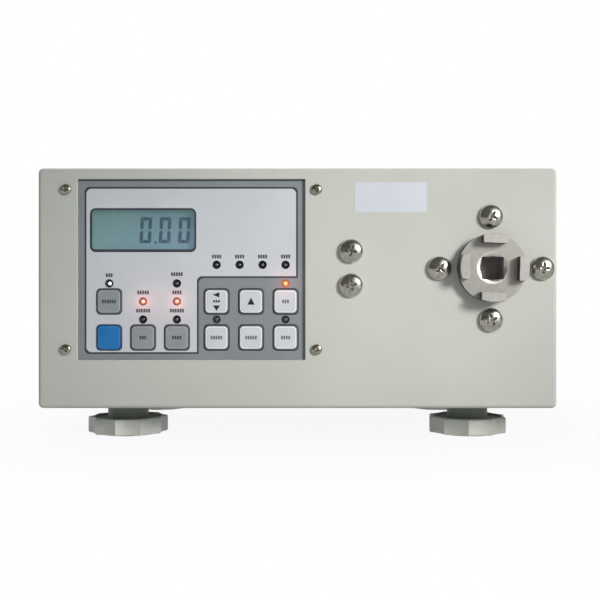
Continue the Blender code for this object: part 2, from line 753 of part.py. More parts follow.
# Display: a clear window with a lip behind the panel, and the module behind that
window_front = rounded_rectangle(
    DISPLAY_WIDTH - 2 * GAP, DISPLAY_HEIGHT - 2 * GAP, DISPLAY_CORNER - GAP, 3
)
window_lip = rounded_rectangle(
    DISPLAY_WIDTH + 2 * DISPLAY_LIP, DISPLAY_HEIGHT + 2 * DISPLAY_LIP, DISPLAY_CORNER, 3
)
bm = bmesh.new()
loft(
    bm,
    [
        (window_front, PANEL_FRONT + LAMP_SINK),
        (window_front, FLANGE_FRONT),
        (window_lip, FLANGE_FRONT),
        (window_lip, FLANGE_FRONT + DISPLAY_LIP_THICKNESS),
    ],
)
add("display_window", finish(bm, "display_window"), clear_lens, (DISPLAY_X, 0, DISPLAY_Z))
MODULE_FRONT = FLANGE_FRONT + DISPLAY_LIP_THICKNESS + GAP
module_edge = rounded_rectangle(
    DISPLAY_WIDTH + 2 * DISPLAY_BORDER, DISPLAY_HEIGHT + 2 * DISPLAY_BORDER, GAP, 2
)
module_glass = rounded_rectangle(DISPLAY_WIDTH, DISPLAY_HEIGHT, GAP, 2)
bm = bmesh.new()
loft(
    bm,
    [
        (module_edge, BOARD_FRONT - GAP),
        (module_edge, MODULE_FRONT),
        (module_glass, MODULE_FRONT),
        (module_glass, MODULE_FRONT + DISPLAY_LIP_THICKNESS),
    ],
)
add("display_module", finish(bm, "display_module"), display_glass, (DISPLAY_X, 0, DISPLAY_Z))

# Circuit board with a switch behind each key and the lamps on their posts
bm = bmesh.new()
prism(
    bm,
    rectangle(
        WINDOW_WIDTH + 2 * (POST_OUT + POST_RADIUS + BOARD_EDGE),
        WINDOW_HEIGHT - 2 * BOARD_EDGE,
        WINDOW_X,
        WINDOW_Z,
    ),
    BOARD_FRONT,
    BOARD_FRONT + BOARD_THICKNESS,
)
main_board = add("main_board", finish(bm, "main_board"), board_green)
bm = bmesh.new()
for x, z in LEFT_KEYS + RIGHT_KEYS:
    body = rectangle(SWITCH_WIDTH, SWITCH_WIDTH)
    plunger = rectangle(2 * PLUNGER_RADIUS, 2 * PLUNGER_RADIUS)
    loft(
        bm,
        [
            (plunger, PLUNGER_TIP),
            (plunger, BOARD_FRONT - SWITCH_HEIGHT),
            (body, BOARD_FRONT - SWITCH_HEIGHT),
            (body, BOARD_FRONT + BOARD_THICKNESS / 2),
        ],
        at(x, 0, z),
    )
lamp = LAMP_DIAMETER / 2
tip = PANEL_FRONT + LAMP_SINK
for x, z in LAMPS:
    profile = [
        (0.0, tip),
        (0.72 * lamp, tip + 0.3 * lamp),
        (lamp, tip + lamp),
        (lamp, BOARD_FRONT + BOARD_THICKNESS / 2),
        (0.0, BOARD_FRONT + BOARD_THICKNESS / 2),
    ]
    turned(bm, profile, 8, at(x, 0, z))
boolean(main_board, "UNION", helper("switches_and_lamps", bm))

# Keys: cap, lip behind the panel and a stem over the switch
cap = rounded_rectangle(KEY_WIDTH, KEY_HEIGHT, KEY_CORNER, 2)
crown = rounded_rectangle(
    KEY_WIDTH - 2 * KEY_BEVEL, KEY_HEIGHT - 2 * KEY_BEVEL, KEY_CORNER - KEY_BEVEL, 2
)
lip = rounded_rectangle(KEY_WIDTH + 2 * KEY_LIP, KEY_HEIGHT + 2 * KEY_LIP, KEY_CORNER, 2)
stem = rounded_rectangle(KEY_STEM, KEY_STEM, KEY_BEVEL, 2)
bm = bmesh.new()
loft(
    bm,
    [
        (crown, 0.0),
        (cap, KEY_BEVEL),
        (cap, FLANGE_FRONT - KEY_FRONT),
        (lip, FLANGE_FRONT - KEY_FRONT),
        (lip, FLANGE_BACK - KEY_FRONT),
        (stem, FLANGE_BACK - KEY_FRONT),
        (stem, STEM_END - KEY_FRONT),
    ],
)
key_mesh = finish(bm, "key")
for i, (x, z) in enumerate(LEFT_KEYS, 1):
    colour = key_blue if (x, z) == LEFT_KEYS[1] else key_grey
    add(f"left_key_{i}", key_mesh, colour, (x, KEY_FRONT, z))
for i, (x, z) in enumerate(RIGHT_KEYS, 1):
    add(f"right_key_{i}", key_mesh, key_white, (x, KEY_FRONT, z))

# Torque socket: a disc with four jaws, a square drive, and the shaft behind
bm = bmesh.new()
disc_back = -SOCKET_STANDOFF
disc_front = disc_back - SOCKET_THICKNESS
jaw_front = disc_front - JAW_HEIGHT
shaft_end = ARM_BACK + SHAFT_END
turned(
    bm,
    [
        (0.0, jaw_front),
        (SOCKET_RADIUS - SOCKET_CHAMFER, jaw_front),
        (SOCKET_RADIUS, jaw_front + SOCKET_CHAMFER),
        (SOCKET_RADIUS, disc_back),
        (BOSS_RADIUS, disc_back),
        (BOSS_RADIUS, BOSS_LENGTH),
        (SHAFT_RADIUS, BOSS_LENGTH),
        (SHAFT_RADIUS, shaft_end - SOCKET_CHAMFER),
        (SHAFT_RADIUS - SOCKET_CHAMFER, shaft_end),
        (0.0, shaft_end),
    ],
    48,
)
torque_socket = add(
    "torque_socket", finish(bm, "torque_socket"), socket_steel, (SOCKET_X, 0, HEAD_Z)
)
half, far = JAW_WIDTH / 2, SOCKET_RADIUS + JAW_HEIGHT
between_jaws = []
for k in range(4):
    a = math.radians(90 * k)
    for x, z in ((JAW_INNER, half), (far, half), (far, far), (half, far), (half, JAW_INNER)):
        between_jaws.append((x * math.cos(a) - z * math.sin(a), x * math.sin(a) + z * math.cos(a)))
bm = bmesh.new()
prism(bm, between_jaws, jaw_front - GAP, disc_front, Matrix.Rotation(-JAW_TURN, 4, "Y"))
boolean(
    torque_socket, "DIFFERENCE", helper("space_between_jaws", bm, (SOCKET_X, 0, HEAD_Z))
)
bm = bmesh.new()
square = rounded_rectangle(DRIVE_SQUARE, DRIVE_SQUARE, DRIVE_CORNER, 2)
prism(bm, square, disc_front - GAP, disc_front + DRIVE_DEPTH)
boolean(torque_socket, "DIFFERENCE", helper("drive_square", bm, (SOCKET_X, 0, HEAD_Z)))
bm = bmesh.new()
turned(
    bm,
    [
        (0.0, disc_front - GAP),
        (MOUTH_RADIUS + GAP, disc_front - GAP),
        (MOUTH_RADIUS - MOUTH_DEPTH, disc_front + MOUTH_DEPTH),
        (0.0, disc_front + MOUTH_DEPTH),
    ],
    32,
)
boolean(torque_socket, "DIFFERENCE", helper("drive_mouth", bm, (SOCKET_X, 0, HEAD_Z)))

# Bearing housing and its two bearings
bm = bmesh.new()
bore = BOSS_RADIUS + BOSS_CLEAR
pocket = BEARING_RADIUS + GAP
turned(
    bm,
    [
        (bore, PANEL_FRONT),
        (HOUSING_RADIUS, PANEL_FRONT),
        (HOUSING_RADIUS, HOUSING_BACK),
        (HUB_RADIUS, HOUSING_BACK),
        (HUB_RADIUS, HUB_BACK),
        (pocket, HUB_BACK),
        (pocket, BEARING_FRONT - GAP),
        (bore, BEARING_FRONT - GAP),
    ],
    28,
    hollow=True,
)
housing = add(
    "bearing_housing", finish(bm, "bearing_housing"), dull_aluminium, (SOCKET_X, 0, HEAD_Z)
)
boolean(
    housing,
    "DIFFERENCE",
    front_view_holes("head_screw_holes", head_holes, SHEET, HOUSING_BACK + GAP),
)
inner, race = SHAFT_RADIUS + GAP, RACE_HEIGHT
bm = bmesh.new()
turned(
    bm,
    [
        (inner, 0.0),
        (inner + race, 0.0),
        (inner + race, SHIELD_SINK),
        (BEARING_RADIUS - race, SHIELD_SINK),
        (BEARING_RADIUS - race, 0.0),
        (BEARING_RADIUS, 0.0),
        (BEARING_RADIUS, BEARING_WIDTH),
        (inner, BEARING_WIDTH),
    ],
    20,
    hollow=True,
)
bearing_mesh = finish(bm, "bearing")
for name, depth, turn in (
    ("front_bearing", BEARING_FRONT, 0),
    ("rear_bearing", BEARING_BACK, math.pi),
):
    add(name, bearing_mesh, bearing_steel, (SOCKET_X, depth, HEAD_Z), (0, 0, turn))

# Block behind the front panel that carries the fixed end of the beam
BEAM_SCREWS = [(BEAM_X + s * BEAM_SCREW_PITCH / 2, HEAD_Z) for s in (-1, 1)]
bm = bmesh.new()
prism(
    bm,
    rounded_rectangle(BLOCK_WIDTH, BLOCK_HEIGHT, SHEET, 2, BEAM_X, HEAD_Z),
    PANEL_FRONT,
    BLOCK_BACK,
)
beam_block = add("beam_block", finish(bm, "beam_block"), dull_aluminium)
boolean(
    beam_block,
    "DIFFERENCE",
    front_view_holes("beam_carrier_holes", beam_holes, SHEET, BIG_SCREW_LENGTH + GAP),
)
beam_screw_holes = front_view_holes(
    "beam_screw_holes",
    [circle(SMALL_HOLE, 10, x, z) for x, z in BEAM_SCREWS],
    BLOCK_BACK - 2 * SMALL_SCREW_BITE - 2 * GAP,
    BEAM_BACK + GAP,
)
boolean(beam_block, "DIFFERENCE", beam_screw_holes)

# Bending beam, thinned by two joined bores where the gauges sit
beam_left = BEAM_X - BLOCK_WIDTH / 2
beam_right = LINK_X + LINK_END
bm = bmesh.new()
prism(
    bm,
    rectangle(beam_right - beam_left, BEAM_HEIGHT, (beam_left + beam_right) / 2, HEAD_Z),
    BEAM_FRONT,
    BEAM_BACK,
)
bending_beam = add("bending_beam", finish(bm, "bending_beam"), dull_aluminium)
gauge_x = BEAM_X + BLOCK_WIDTH / 2 + GAUGE_LENGTH / 2
lean = math.degrees(math.asin(GAUGE_SLOT / 2 / GAUGE_RADIUS))
dumbbell = arc(gauge_x + GAUGE_PITCH / 2, HEAD_Z, GAUGE_RADIUS, lean - 180, 180 - lean, 12)
dumbbell += arc(gauge_x - GAUGE_PITCH / 2, HEAD_Z, GAUGE_RADIUS, lean, 360 - lean, 12)
link_hole = circle(SMALL_HOLE, 10, LINK_X, HEAD_Z)
boolean(
    bending_beam,
    "DIFFERENCE",
    front_view_holes("gauge_bores", [dumbbell], BEAM_FRONT - GAP, BEAM_BACK + GAP),
)
boolean(bending_beam, "DIFFERENCE", beam_screw_holes)

# Lever: an eye clamped on the shaft, tapering to the free end of the beam
eye = SHAFT_RADIUS + GAP + ARM_WALL
spread = math.degrees(math.acos((eye - ARM_TIP) / LINK_REACH))
arm_outline = arc(SOCKET_X, HEAD_Z, eye, spread - 180, 180 - spread, 20)
arm_outline += arc(LINK_X, HEAD_Z, ARM_TIP, 180 - spread, 180 + spread, 8)
bm = bmesh.new()
prism(bm, arm_outline, ARM_FRONT, ARM_BACK)
lever_arm = add("lever_arm", finish(bm, "lever_arm"), dull_aluminium)
shaft_hole = circle(SHAFT_RADIUS + GAP, 24, SOCKET_X, HEAD_Z)
boolean(
    lever_arm,
    "DIFFERENCE",
    front_view_holes("lever_bore", [shaft_hole], ARM_FRONT - GAP, ARM_BACK + GAP),
)
slit = rectangle(2 * eye, CLAMP_SLIT, SOCKET_X + eye, HEAD_Z)
boolean(
    lever_arm,
    "DIFFERENCE",
    front_view_holes("clamp_slit", [slit], ARM_FRONT - 2 * GAP, ARM_BACK + 2 * GAP),
)
link_holes = front_view_holes("link_hole", [link_hole], BEAM_FRONT - 2 * GAP, ARM_BACK + GAP)
boolean(bending_beam, "DIFFERENCE", link_holes)
boolean(lever_arm, "DIFFERENCE", link_holes)

# Big screws round the socket and on the beam block
big_screw = screw_mesh(
    "big_screw", BIG_SCREW_RADIUS, BIG_HEAD_RADIUS, BIG_HEAD_HEIGHT, BIG_SCREW_LENGTH, 16, True
)
for i, (x, z) in enumerate(HEAD_SCREWS, 1):
    add(f"head_screw_{i}", big_screw, steel, (x, 0, z), (0, math.radians(20 + 55 * i), 0))
for i, (x, z) in enumerate(BEAM_CARRIERS, 1):
    add(f"beam_carrier_{i}", big_screw, steel, (x, 0, z), (0, math.radians(35 * i), 0))


def small_screws(name, held, places):
    """Small screws through the given thickness, each with a place and a direction."""
    mesh = screw_mesh(
        name,
        SMALL_SCREW_RADIUS,
        SMALL_HEAD_RADIUS,
        SMALL_HEAD_HEIGHT,
        held + SMALL_SCREW_BITE,
        8,
    )
    for i, (place, turn) in enumerate(places, 1):
        add(f"{name}_{i}", mesh, steel, place, [math.radians(t) for t in turn])


small_screws("panel_screw", PANEL_BACK, [((x, 0, z), (0, 0, 0)) for x, z in PANEL_SCREWS])
small_screws(
    "cover_screw",
    2 * SHEET + GAP,
    [
        ((s * HALF_WIDTH, depth, SIDE_SCREW_HEIGHT), (0, 0, 90 * s))
        for depth in SIDE_DEPTHS
        for s in (-1, 1)
    ],
)
small_screws(
    "rear_screw",
    CASE_DEPTH - TRAY_BACK + SHEET,
    [((x, CASE_DEPTH, z), (0, 0, 180)) for x, z in REAR_SCREWS],
)
small_screws(
    "beam_screw",
    BEAM_THICKNESS + GAP + SMALL_SCREW_BITE,
    [((x, BEAM_BACK, z), (0, 0, 180)) for x, z in BEAM_SCREWS],
)
small_screws(
    "link_screw",
    ARM_THICKNESS + GAP + BEAM_THICKNESS - 2 * SMALL_SCREW_BITE,
    [((LINK_X, ARM_BACK, HEAD_Z), (0, 0, 180))],
)


# Levelling feet: a fluted wheel with its neck and stud, on a rubber pad
def fluted(radius):
    """Shallow hollows between sharp ridges, all round the wheel."""
    points = []
    for k in range(FLUTES):
        a, b = (math.tau * (k + end) / FLUTES for end in (0, 1))
        for step in range(3):
            t = step / 3
            x = (1 - t) * math.cos(a) + t * math.cos(b)
            y = (1 - t) * math.sin(a) + t * math.sin(b)
            hollow = 1 - FLUTE_DEPTH / WHEEL_RADIUS * 4 * t * (1 - t)
            points.append((radius * hollow * x, radius * hollow * y))
    return points


WHEEL_BASE = PAD_PROUD
WHEEL_TOP = WHEEL_BASE + WHEEL_THICKNESS
NECK_TOP = CASE_BASE + TRAY_BASE - GAP
STUD_TOP = CASE_BASE + TRAY_TOP + NUT_HEIGHT + STUD_SPARE
bm = bmesh.new()
loft(
    bm,
    [
        (fluted(WHEEL_RADIUS - WHEEL_CHAMFER), WHEEL_BASE),
        (fluted(WHEEL_RADIUS), WHEEL_BASE + WHEEL_CHAMFER),
        (fluted(WHEEL_RADIUS), WHEEL_TOP - WHEEL_CHAMFER),
        (fluted(WHEEL_RADIUS - WHEEL_CHAMFER), WHEEL_TOP),
    ],
    UP,
)
wheel = add("foot_wheel", finish(bm, "foot_wheel"), wheel_grey, parent=torque_meter)
bm = bmesh.new()
turned(
    bm,
    [
        (0.0, WHEEL_TOP - WHEEL_THICKNESS / 2),
        (NECK_RADIUS, WHEEL_TOP - WHEEL_THICKNESS / 2),
        (NECK_RADIUS, NECK_TOP),
        (STUD_RADIUS, NECK_TOP),
        (STUD_RADIUS, STUD_TOP - WHEEL_CHAMFER),
        (STUD_RADIUS - WHEEL_CHAMFER, STUD_TOP),
        (0.0, STUD_TOP),
    ],
    16,
    UP,
)
boolean(wheel, "UNION", helper("neck_and_stud", bm, parent=torque_meter))
bm = bmesh.new()
recess = circle(PAD_RADIUS + GAP, 20)
prism(bm, recess, WHEEL_BASE - PAD_PROUD, WHEEL_BASE + PAD_SUNK + GAP, UP)
boolean(wheel, "DIFFERENCE", helper("pad_recess", bm, parent=torque_meter))
wheel_mesh = baked(wheel)
bm = bmesh.new()
pad_top = WHEEL_BASE + PAD_SUNK
turned(
    bm,
    [
        (0.0, 0.0),
        (PAD_RADIUS - PAD_PROUD, 0.0),
        (PAD_RADIUS, PAD_PROUD),
        (PAD_RADIUS, pad_top),
        (0.0, pad_top),
    ],
    20,
    UP,
)
pad_mesh = finish(bm, "foot_pad")
for i, (x, depth) in enumerate(FEET, 1):
    foot = bpy.data.objects.new(f"foot_axis_{i}", None)
    foot.location = (x, CASE_FRONT + depth, 0)
    foot.parent = torque_meter
    bpy.context.scene.collection.objects.link(foot)
    add(f"foot_pad_{i}", pad_mesh, rubber, parent=foot)
    add(f"foot_wheel_{i}", wheel_mesh, wheel_grey, parent=foot)

# Battery pack: cells side by side in one wrap, under a strap on the tray
cell_pitch = 2 * CELL_RADIUS - CELL_OVERLAP
meet = math.degrees(math.acos(cell_pitch / 2 / CELL_RADIUS))
cell_xs = [(k - (CELLS - 1) / 2) * cell_pitch for k in range(CELLS)]
pack = []
for side in (1, -1):
    for x in sorted(cell_xs, reverse=side > 0):
        ends = [meet, 180 - meet]
        if side * x == max(cell_xs):
            ends[0] = 0
        if side * x == min(cell_xs):
            ends[1] = 180
        start = 0 if side > 0 else 180
        run = arc(x, 0, CELL_RADIUS, start + ends[0], start + ends[1], 6)
        pack += run if run[0] not in pack else run[1:]
pack = [p for i, p in enumerate(pack) if math.dist(p, pack[i - 1]) > GAP / 10]
battery_z = TRAY_TOP + GAP + CELL_RADIUS
battery_y = CASE_DEPTH - BATTERY_FROM_REAR
bm = bmesh.new()
prism(bm, pack, -CELL_LENGTH / 2, CELL_LENGTH / 2)
add("battery_pack", finish(bm, "battery_pack"), cell_wrap, (0, battery_y, battery_z))
inside = max(cell_xs) + CELL_RADIUS + GAP
low, high = TRAY_TOP + GAP, battery_z + CELL_RADIUS + GAP
thick = STRAP_THICKNESS
right_half = [
    (inside, high),
    (inside, low),
    (inside + thick + STRAP_FOOT, low),
    (inside + thick + STRAP_FOOT, low + thick),
    (inside + thick, low + thick),
    (inside + thick, high + thick),
]
strap = right_half + [(-x, z) for x, z in reversed(right_half)]
bm = bmesh.new()
prism(bm, strap, -STRAP_WIDTH / 2, STRAP_WIDTH / 2)
add("battery_strap", finish(bm, "battery_strap"), strap_steel, (0, battery_y, 0))

# Data socket: flange outside the rear panel, shell out, body in, two hex posts
flange_back = REAR_BACK + GAP + PLUG_FLANGE_THICKNESS
bm = bmesh.new()
prism(
    bm,
    rounded_rectangle(PLUG_FLANGE_WIDTH, PLUG_FLANGE_HEIGHT, SHEET, 2),
    REAR_BACK + GAP,
    flange_back,
)
data_socket = add("data_socket", finish(bm, "data_socket"), zinc, (PLUG_X, 0, PORT_Z))
bm = bmesh.new()
w, h = PLUG_SHELL_WIDTH / 2, PLUG_SHELL_HEIGHT / 2
shell = [(w, h), (-w, h), (-w * 0.88, -h), (w * 0.88, -h)]
prism(bm, shell, REAR_BACK - PLUG_BODY_DEPTH, flange_back + PLUG_SHELL_DEPTH)
for s in (-1, 1):
    post = circle(PLUG_SCREW_RADIUS, 6, s * PLUG_SCREW_PITCH / 2)
    prism(bm, post, REAR_BACK + GAP + PLUG_FLANGE_THICKNESS / 2, flange_back + PLUG_SCREW_HEIGHT)
boolean(data_socket, "UNION", helper("data_socket_body", bm, (PLUG_X, 0, PORT_Z)))

# Charging jack: body inside, thread out through the panel, and its nut
bm = bmesh.new()
turned(
    bm,
    [
        (0.0, REAR_FRONT - GAP - JACK_BODY_LENGTH),
        (JACK_BODY_RADIUS, REAR_FRONT - GAP - JACK_BODY_LENGTH),
        (JACK_BODY_RADIUS, REAR_FRONT - GAP),
        (JACK_THREAD_RADIUS, REAR_FRONT - GAP),
        (JACK_THREAD_RADIUS, REAR_BACK + JACK_PROUD),
        (JACK_BORE, REAR_BACK + JACK_PROUD),
        (JACK_BORE, REAR_BACK + JACK_PROUD - JACK_BORE_DEPTH),
        (0.0, REAR_BACK + JACK_PROUD - JACK_BORE_DEPTH),
    ],
    16,
)
charge_jack = add("charge_jack", finish(bm, "charge_jack"), black_plastic, (JACK_X, 0, PORT_Z))
bm = bmesh.new()
turned_nut = circle(JACK_NUT_RADIUS, 6)
prism(bm, turned_nut, REAR_BACK + GAP, REAR_BACK + GAP + JACK_NUT_HEIGHT)
jack_nut = helper("jack_nut", bm, (JACK_X, 0, PORT_Z))
bm = bmesh.new()
prism(bm, circle(JACK_THREAD_RADIUS - GAP, 16), REAR_BACK, REAR_BACK + 2 * JACK_NUT_HEIGHT)
boolean(jack_nut, "DIFFERENCE", helper("jack_nut_bore", bm, (JACK_X, 0, PORT_Z)))
boolean(charge_jack, "UNION", jack_nut)
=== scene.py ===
"""The looks of the digital torque meter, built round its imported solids.

Flat things on the front are drawn as lines in the XZ plane and then given their depths.
"""

import math

import bmesh
import bpy
from mathutils import Matrix, Vector


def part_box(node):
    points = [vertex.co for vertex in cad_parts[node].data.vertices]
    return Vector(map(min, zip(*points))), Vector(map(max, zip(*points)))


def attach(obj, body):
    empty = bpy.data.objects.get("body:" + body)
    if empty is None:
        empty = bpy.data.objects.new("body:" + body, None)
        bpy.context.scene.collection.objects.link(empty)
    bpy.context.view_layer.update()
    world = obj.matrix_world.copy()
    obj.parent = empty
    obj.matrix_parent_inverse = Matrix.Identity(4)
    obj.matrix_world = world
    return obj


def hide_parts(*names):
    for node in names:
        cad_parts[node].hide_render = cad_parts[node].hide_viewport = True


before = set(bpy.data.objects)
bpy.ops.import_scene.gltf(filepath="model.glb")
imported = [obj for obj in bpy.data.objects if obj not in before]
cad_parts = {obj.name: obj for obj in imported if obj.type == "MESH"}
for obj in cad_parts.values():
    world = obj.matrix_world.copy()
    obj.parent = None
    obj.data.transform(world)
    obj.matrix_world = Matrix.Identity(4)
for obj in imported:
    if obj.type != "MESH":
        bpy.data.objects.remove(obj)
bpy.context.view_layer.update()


def centre_of(node):
    low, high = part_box(node)
    return (low + high) / 2


def numbered(name, count):
    """The names of solids that differ only in their number."""
    return [f"{name}_{i}" for i in range(1, count + 1)]


# Places that the solids give
CASE_LOW, CASE_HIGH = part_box("front_panel")
COVER_LOW, COVER_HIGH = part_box("top_cover")
FRONT, BASE = CASE_LOW.y, CASE_LOW.z
LEFT_X = [centre_of(f"left_key_{i}").x for i in (2, 3, 4)]
RIGHT_X = [centre_of(f"right_key_{i}").x for i in (4, 5, 6)]
LOWER_ROW, UPPER_ROW = centre_of("left_key_2").z, centre_of("left_key_1").z
LAMPS_BETWEEN = (LOWER_ROW + UPPER_ROW) / 2
LAMPS_ABOVE = 2 * UPPER_ROW - LAMPS_BETWEEN
DISPLAY = centre_of("display_window")
SOCKET = centre_of("torque_socket")
KEYS = numbered("left_key", 4) + numbered("right_key", 6)
BIG_SCREWS = numbered("head_screw", 4) + numbered("beam_carrier", 2)

# Sizes that the solids share
GAP = 0.0003
SHEET = 0.0016
CORNER_RADIUS = 0.0025
EDGE_RADIUS = 0.0020
RETURN_FLANGE = 0.0120
PANEL_LAP_SIDE = 0.01072
PANEL_LAP_END = 0.0026
PANEL_FRONT = SHEET + GAP
KEY_WIDTH, KEY_HEIGHT, KEY_CORNER = 0.0125, 0.0127, 0.0022
DISPLAY_WIDTH, DISPLAY_HEIGHT, DISPLAY_CORNER = 0.0521, 0.02104, 0.0024
STATUS_RISE = 0.0093
SOCKET_RADIUS = 0.0169
DISC_BACK, DISC_FRONT, JAW_FRONT = -0.0005, -0.0048, -0.0108
BOSS_RADIUS, BOSS_CLEAR = 0.0130, 0.0010
SMALL_SCREW, SMALL_HEAD, SMALL_HEAD_HEIGHT = 0.0015, 0.0027, 0.0016
BIG_SCREW, BIG_HEAD, BIG_HEAD_HEIGHT = 0.0030, 0.0059, 0.0034

# The window in the front panel
PANEL_LOW, PANEL_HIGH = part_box("key_panel")
WINDOW_LEFT, WINDOW_RIGHT = PANEL_LOW.x + PANEL_LAP_SIDE, PANEL_HIGH.x - PANEL_LAP_SIDE
WINDOW_LOW, WINDOW_TOP = PANEL_LOW.z + PANEL_LAP_END, PANEL_HIGH.z - PANEL_LAP_END
WINDOW_WIDTH, WINDOW_HEIGHT = WINDOW_RIGHT - WINDOW_LEFT, WINDOW_TOP - WINDOW_LOW
WINDOW_X, WINDOW_Z = (WINDOW_LEFT + WINDOW_RIGHT) / 2, (WINDOW_LOW + WINDOW_TOP) / 2
WINDOW_CORNER = 0.0004

# Print
FILM, FILM_LAP = 0.00012, 0.0020
INK = 0.00002
PRINT_BACK = PANEL_FRONT - FILM
LINE_WIDTH = 0.0009
FIELD_CORNER = 0.0025
TOP_SHADOW_SHOWN = 0.0008
FIELD_LEFT, FIELD_RIGHT = WINDOW_LEFT + 0.0041, WINDOW_RIGHT - 0.0045
FIELD_TOP, FIELD_LOW = WINDOW_TOP - 0.0046, WINDOW_LOW + 0.0038
BLOCK_LEFT = RIGHT_X[0] - 0.0098
BLOCK_TOP = LAMPS_ABOVE + 0.0036

HALF_TURN = math.pi
QUARTER_TURN = math.pi / 2
BLACK = (0, 0, 0, 1)


def srgb(red, green, blue):
    """A colour given as it looks on a screen, 0 to 255."""
    values = [c / 255 for c in (red, green, blue)]
    return (*[c / 12.92 if c < 0.04 else ((c + 0.055) / 1.055) ** 2.4 for c in values], 1.0)


def quarter(steps, first=0):
    """The sine and cosine of each step through a quarter turn."""
    turns = [QUARTER_TURN * k / steps for k in range(first, steps + 1)]
    return [(math.sin(turn), math.cos(turn)) for turn in turns]


class Signal:
    """A node's output, on which Python's operators add Math nodes."""

    def __init__(self, nodes, output):
        self.nodes = nodes
        self.output = output

    def maths(self, operation, *values):
        return self.nodes.node("ShaderNodeMath", {"operation": operation}, dict(enumerate(values)))

    def __add__(self, other):
        return self.maths("ADD", self, other)

    def __radd__(self, other):
        return self.maths("ADD", other, self)

    def __sub__(self, other):
        return self.maths("SUBTRACT", self, other)

    def __rsub__(self, other):
        return self.maths("SUBTRACT", other, self)

    def __mul__(self, other):
        return self.maths("MULTIPLY", self, other)

    def __rmul__(self, other):
        return self.maths("MULTIPLY", other, self)

    def __truediv__(self, other):
        return self.maths("DIVIDE", self, other)


class Nodes:
    """The node tree of a material or a world."""

    def __init__(self, tree):
        self.tree = tree

    def node(self, kind, settings=None, values=None, output=0):
        """A node with its settings made first, then its sockets, each a value or a signal."""
        node = self.tree.nodes.new(kind)
        for setting, value in (settings or {}).items():
            setattr(node, setting, value)
        for socket, value in (values or {}).items():
            self.feed(node.inputs[socket], value)
        return None if output is None else Signal(self, node.outputs[output])

    def feed(self, socket, value):
        if isinstance(value, Signal):
            self.tree.links.new(value.output, socket)
        else:
            socket.default_value = value

    def seen_directly(self):
        """1 for what the camera, metal or glass shows, and 0 for what only sheds light."""
        kinds = ("Is Camera Ray", "Is Glossy Ray", "Is Transmission Ray")
        camera_ray, glossy, through = [self.node("ShaderNodeLightPath", output=k) for k in kinds]
        return camera_ray.maths("MAXIMUM", camera_ray.maths("MAXIMUM", camera_ray, glossy), through)


class Finish(Nodes):
    """A material whose colour, gloss and relief come from nodes."""

    def __init__(self, name, **fixed):
        self.material = bpy.data.materials.new(name)
        self.material.use_nodes = True
        super().__init__(self.material.node_tree)
        self.shader = self.tree.nodes["Principled BSDF"]
        self.give(**fixed)

    def give(self, **values):
        for socket, value in values.items():
            self.feed(self.shader.inputs[socket.replace("_", " ")], value)
        return self

    def place(self, centre=(0, 0, 0), stretch=(1, 1, 1)):
        """Object coordinates from a centre, stretched along each axis."""
        values = {
            "Vector": self.node("ShaderNodeTexCoord", output="Object"),
            "Location": [-c * s for c, s in zip(centre, stretch)],
            "Scale": stretch,
        }
        return self.node("ShaderNodeMapping", {"vector_type": "POINT"}, values)

    def axis(self, name):
        return self.node("ShaderNodeSeparateXYZ", values={0: self.place()}, output=name)

    def vectors(self, operation, *values, output="Value"):
        setting = {"operation": operation}
        return self.node("ShaderNodeVectorMath", setting, dict(enumerate(values)), output)

    def noise(self, scale, detail=2.0, where=None):
        values = {"Vector": where or self.place(), "Scale": scale, "Detail": detail}
        return self.node("ShaderNodeTexNoise", values=values, output="Fac")

    def mix(self, factor, first, second):
        kind = {"data_type": "RGBA"}
        return self.node("ShaderNodeMix", kind, {0: factor, 6: first, 7: second}, output=2)

    def spread(self, value, low, high, start=0.0, stop=1.0):
        """The value, with low..high turned into start..stop and held there."""
        return self.node("ShaderNodeMapRange", values={0: value, 1: low, 2: high, 3: start, 4: stop})

    def show(self, shader):
        """Ends the material in a shader of its own."""
        self.feed(self.tree.nodes["Material Output"].inputs[0], shader)

    def shade(self, value, dark, light, low=0.35, high=0.65):
        """Screen colours, from dark to light as the value goes from low to high."""
        return self.mix(self.spread(value, low, high), srgb(*dark), srgb(*light))

    def relief(self, height, depth, strength=1.0):
        values = {"Height": height, "Distance": depth, "Strength": strength}
        return self.node("ShaderNodeBump", values=values)


def painted(name, dark, light):
    """Powder coat: fine orange peel, and a shade that drifts a little over the sheet."""
    finish = Finish(name, Specular_IOR_Level=0.3)
    drift, peel, speckle = finish.noise(14, 3.0), finish.noise(950), finish.noise(3200, 1.0)
    return finish.give(
        Base_Color=finish.shade(drift * 0.8 + speckle * 0.2, dark, light),
        Roughness=0.64 + peel * 0.12 + drift * 0.06,
        Normal=finish.relief(peel + speckle * 0.25, 0.00003, 0.55),
    )


def moulded(name, dark, light, gloss=0.42, grain=2600):
    """Plastic with a fine spark-eroded grain."""
    finish = Finish(name, Specular_IOR_Level=0.5)
    drift, fine = finish.noise(90), finish.noise(grain)
    return finish.give(
        Base_Color=finish.shade(drift * 0.6 + fine * 0.4, dark, light),
        Roughness=gloss + fine * 0.16,
        Normal=finish.relief(fine, 0.000012, 0.5),
    )


def printed(name, dark, light, gloss=0.48):
    """Screen ink on a matt film, with the faint unevenness of the mesh."""
    finish = Finish(name, Specular_IOR_Level=0.4)
    drift, mesh = finish.noise(60), finish.noise(5200, 1.0)
    return finish.give(
        Base_Color=finish.shade(drift * 0.7 + mesh * 0.3, dark, light, 0.3, 0.7),
        Roughness=gloss + mesh * 0.12,
        Normal=finish.relief(mesh, 0.000006, 0.4),
    )


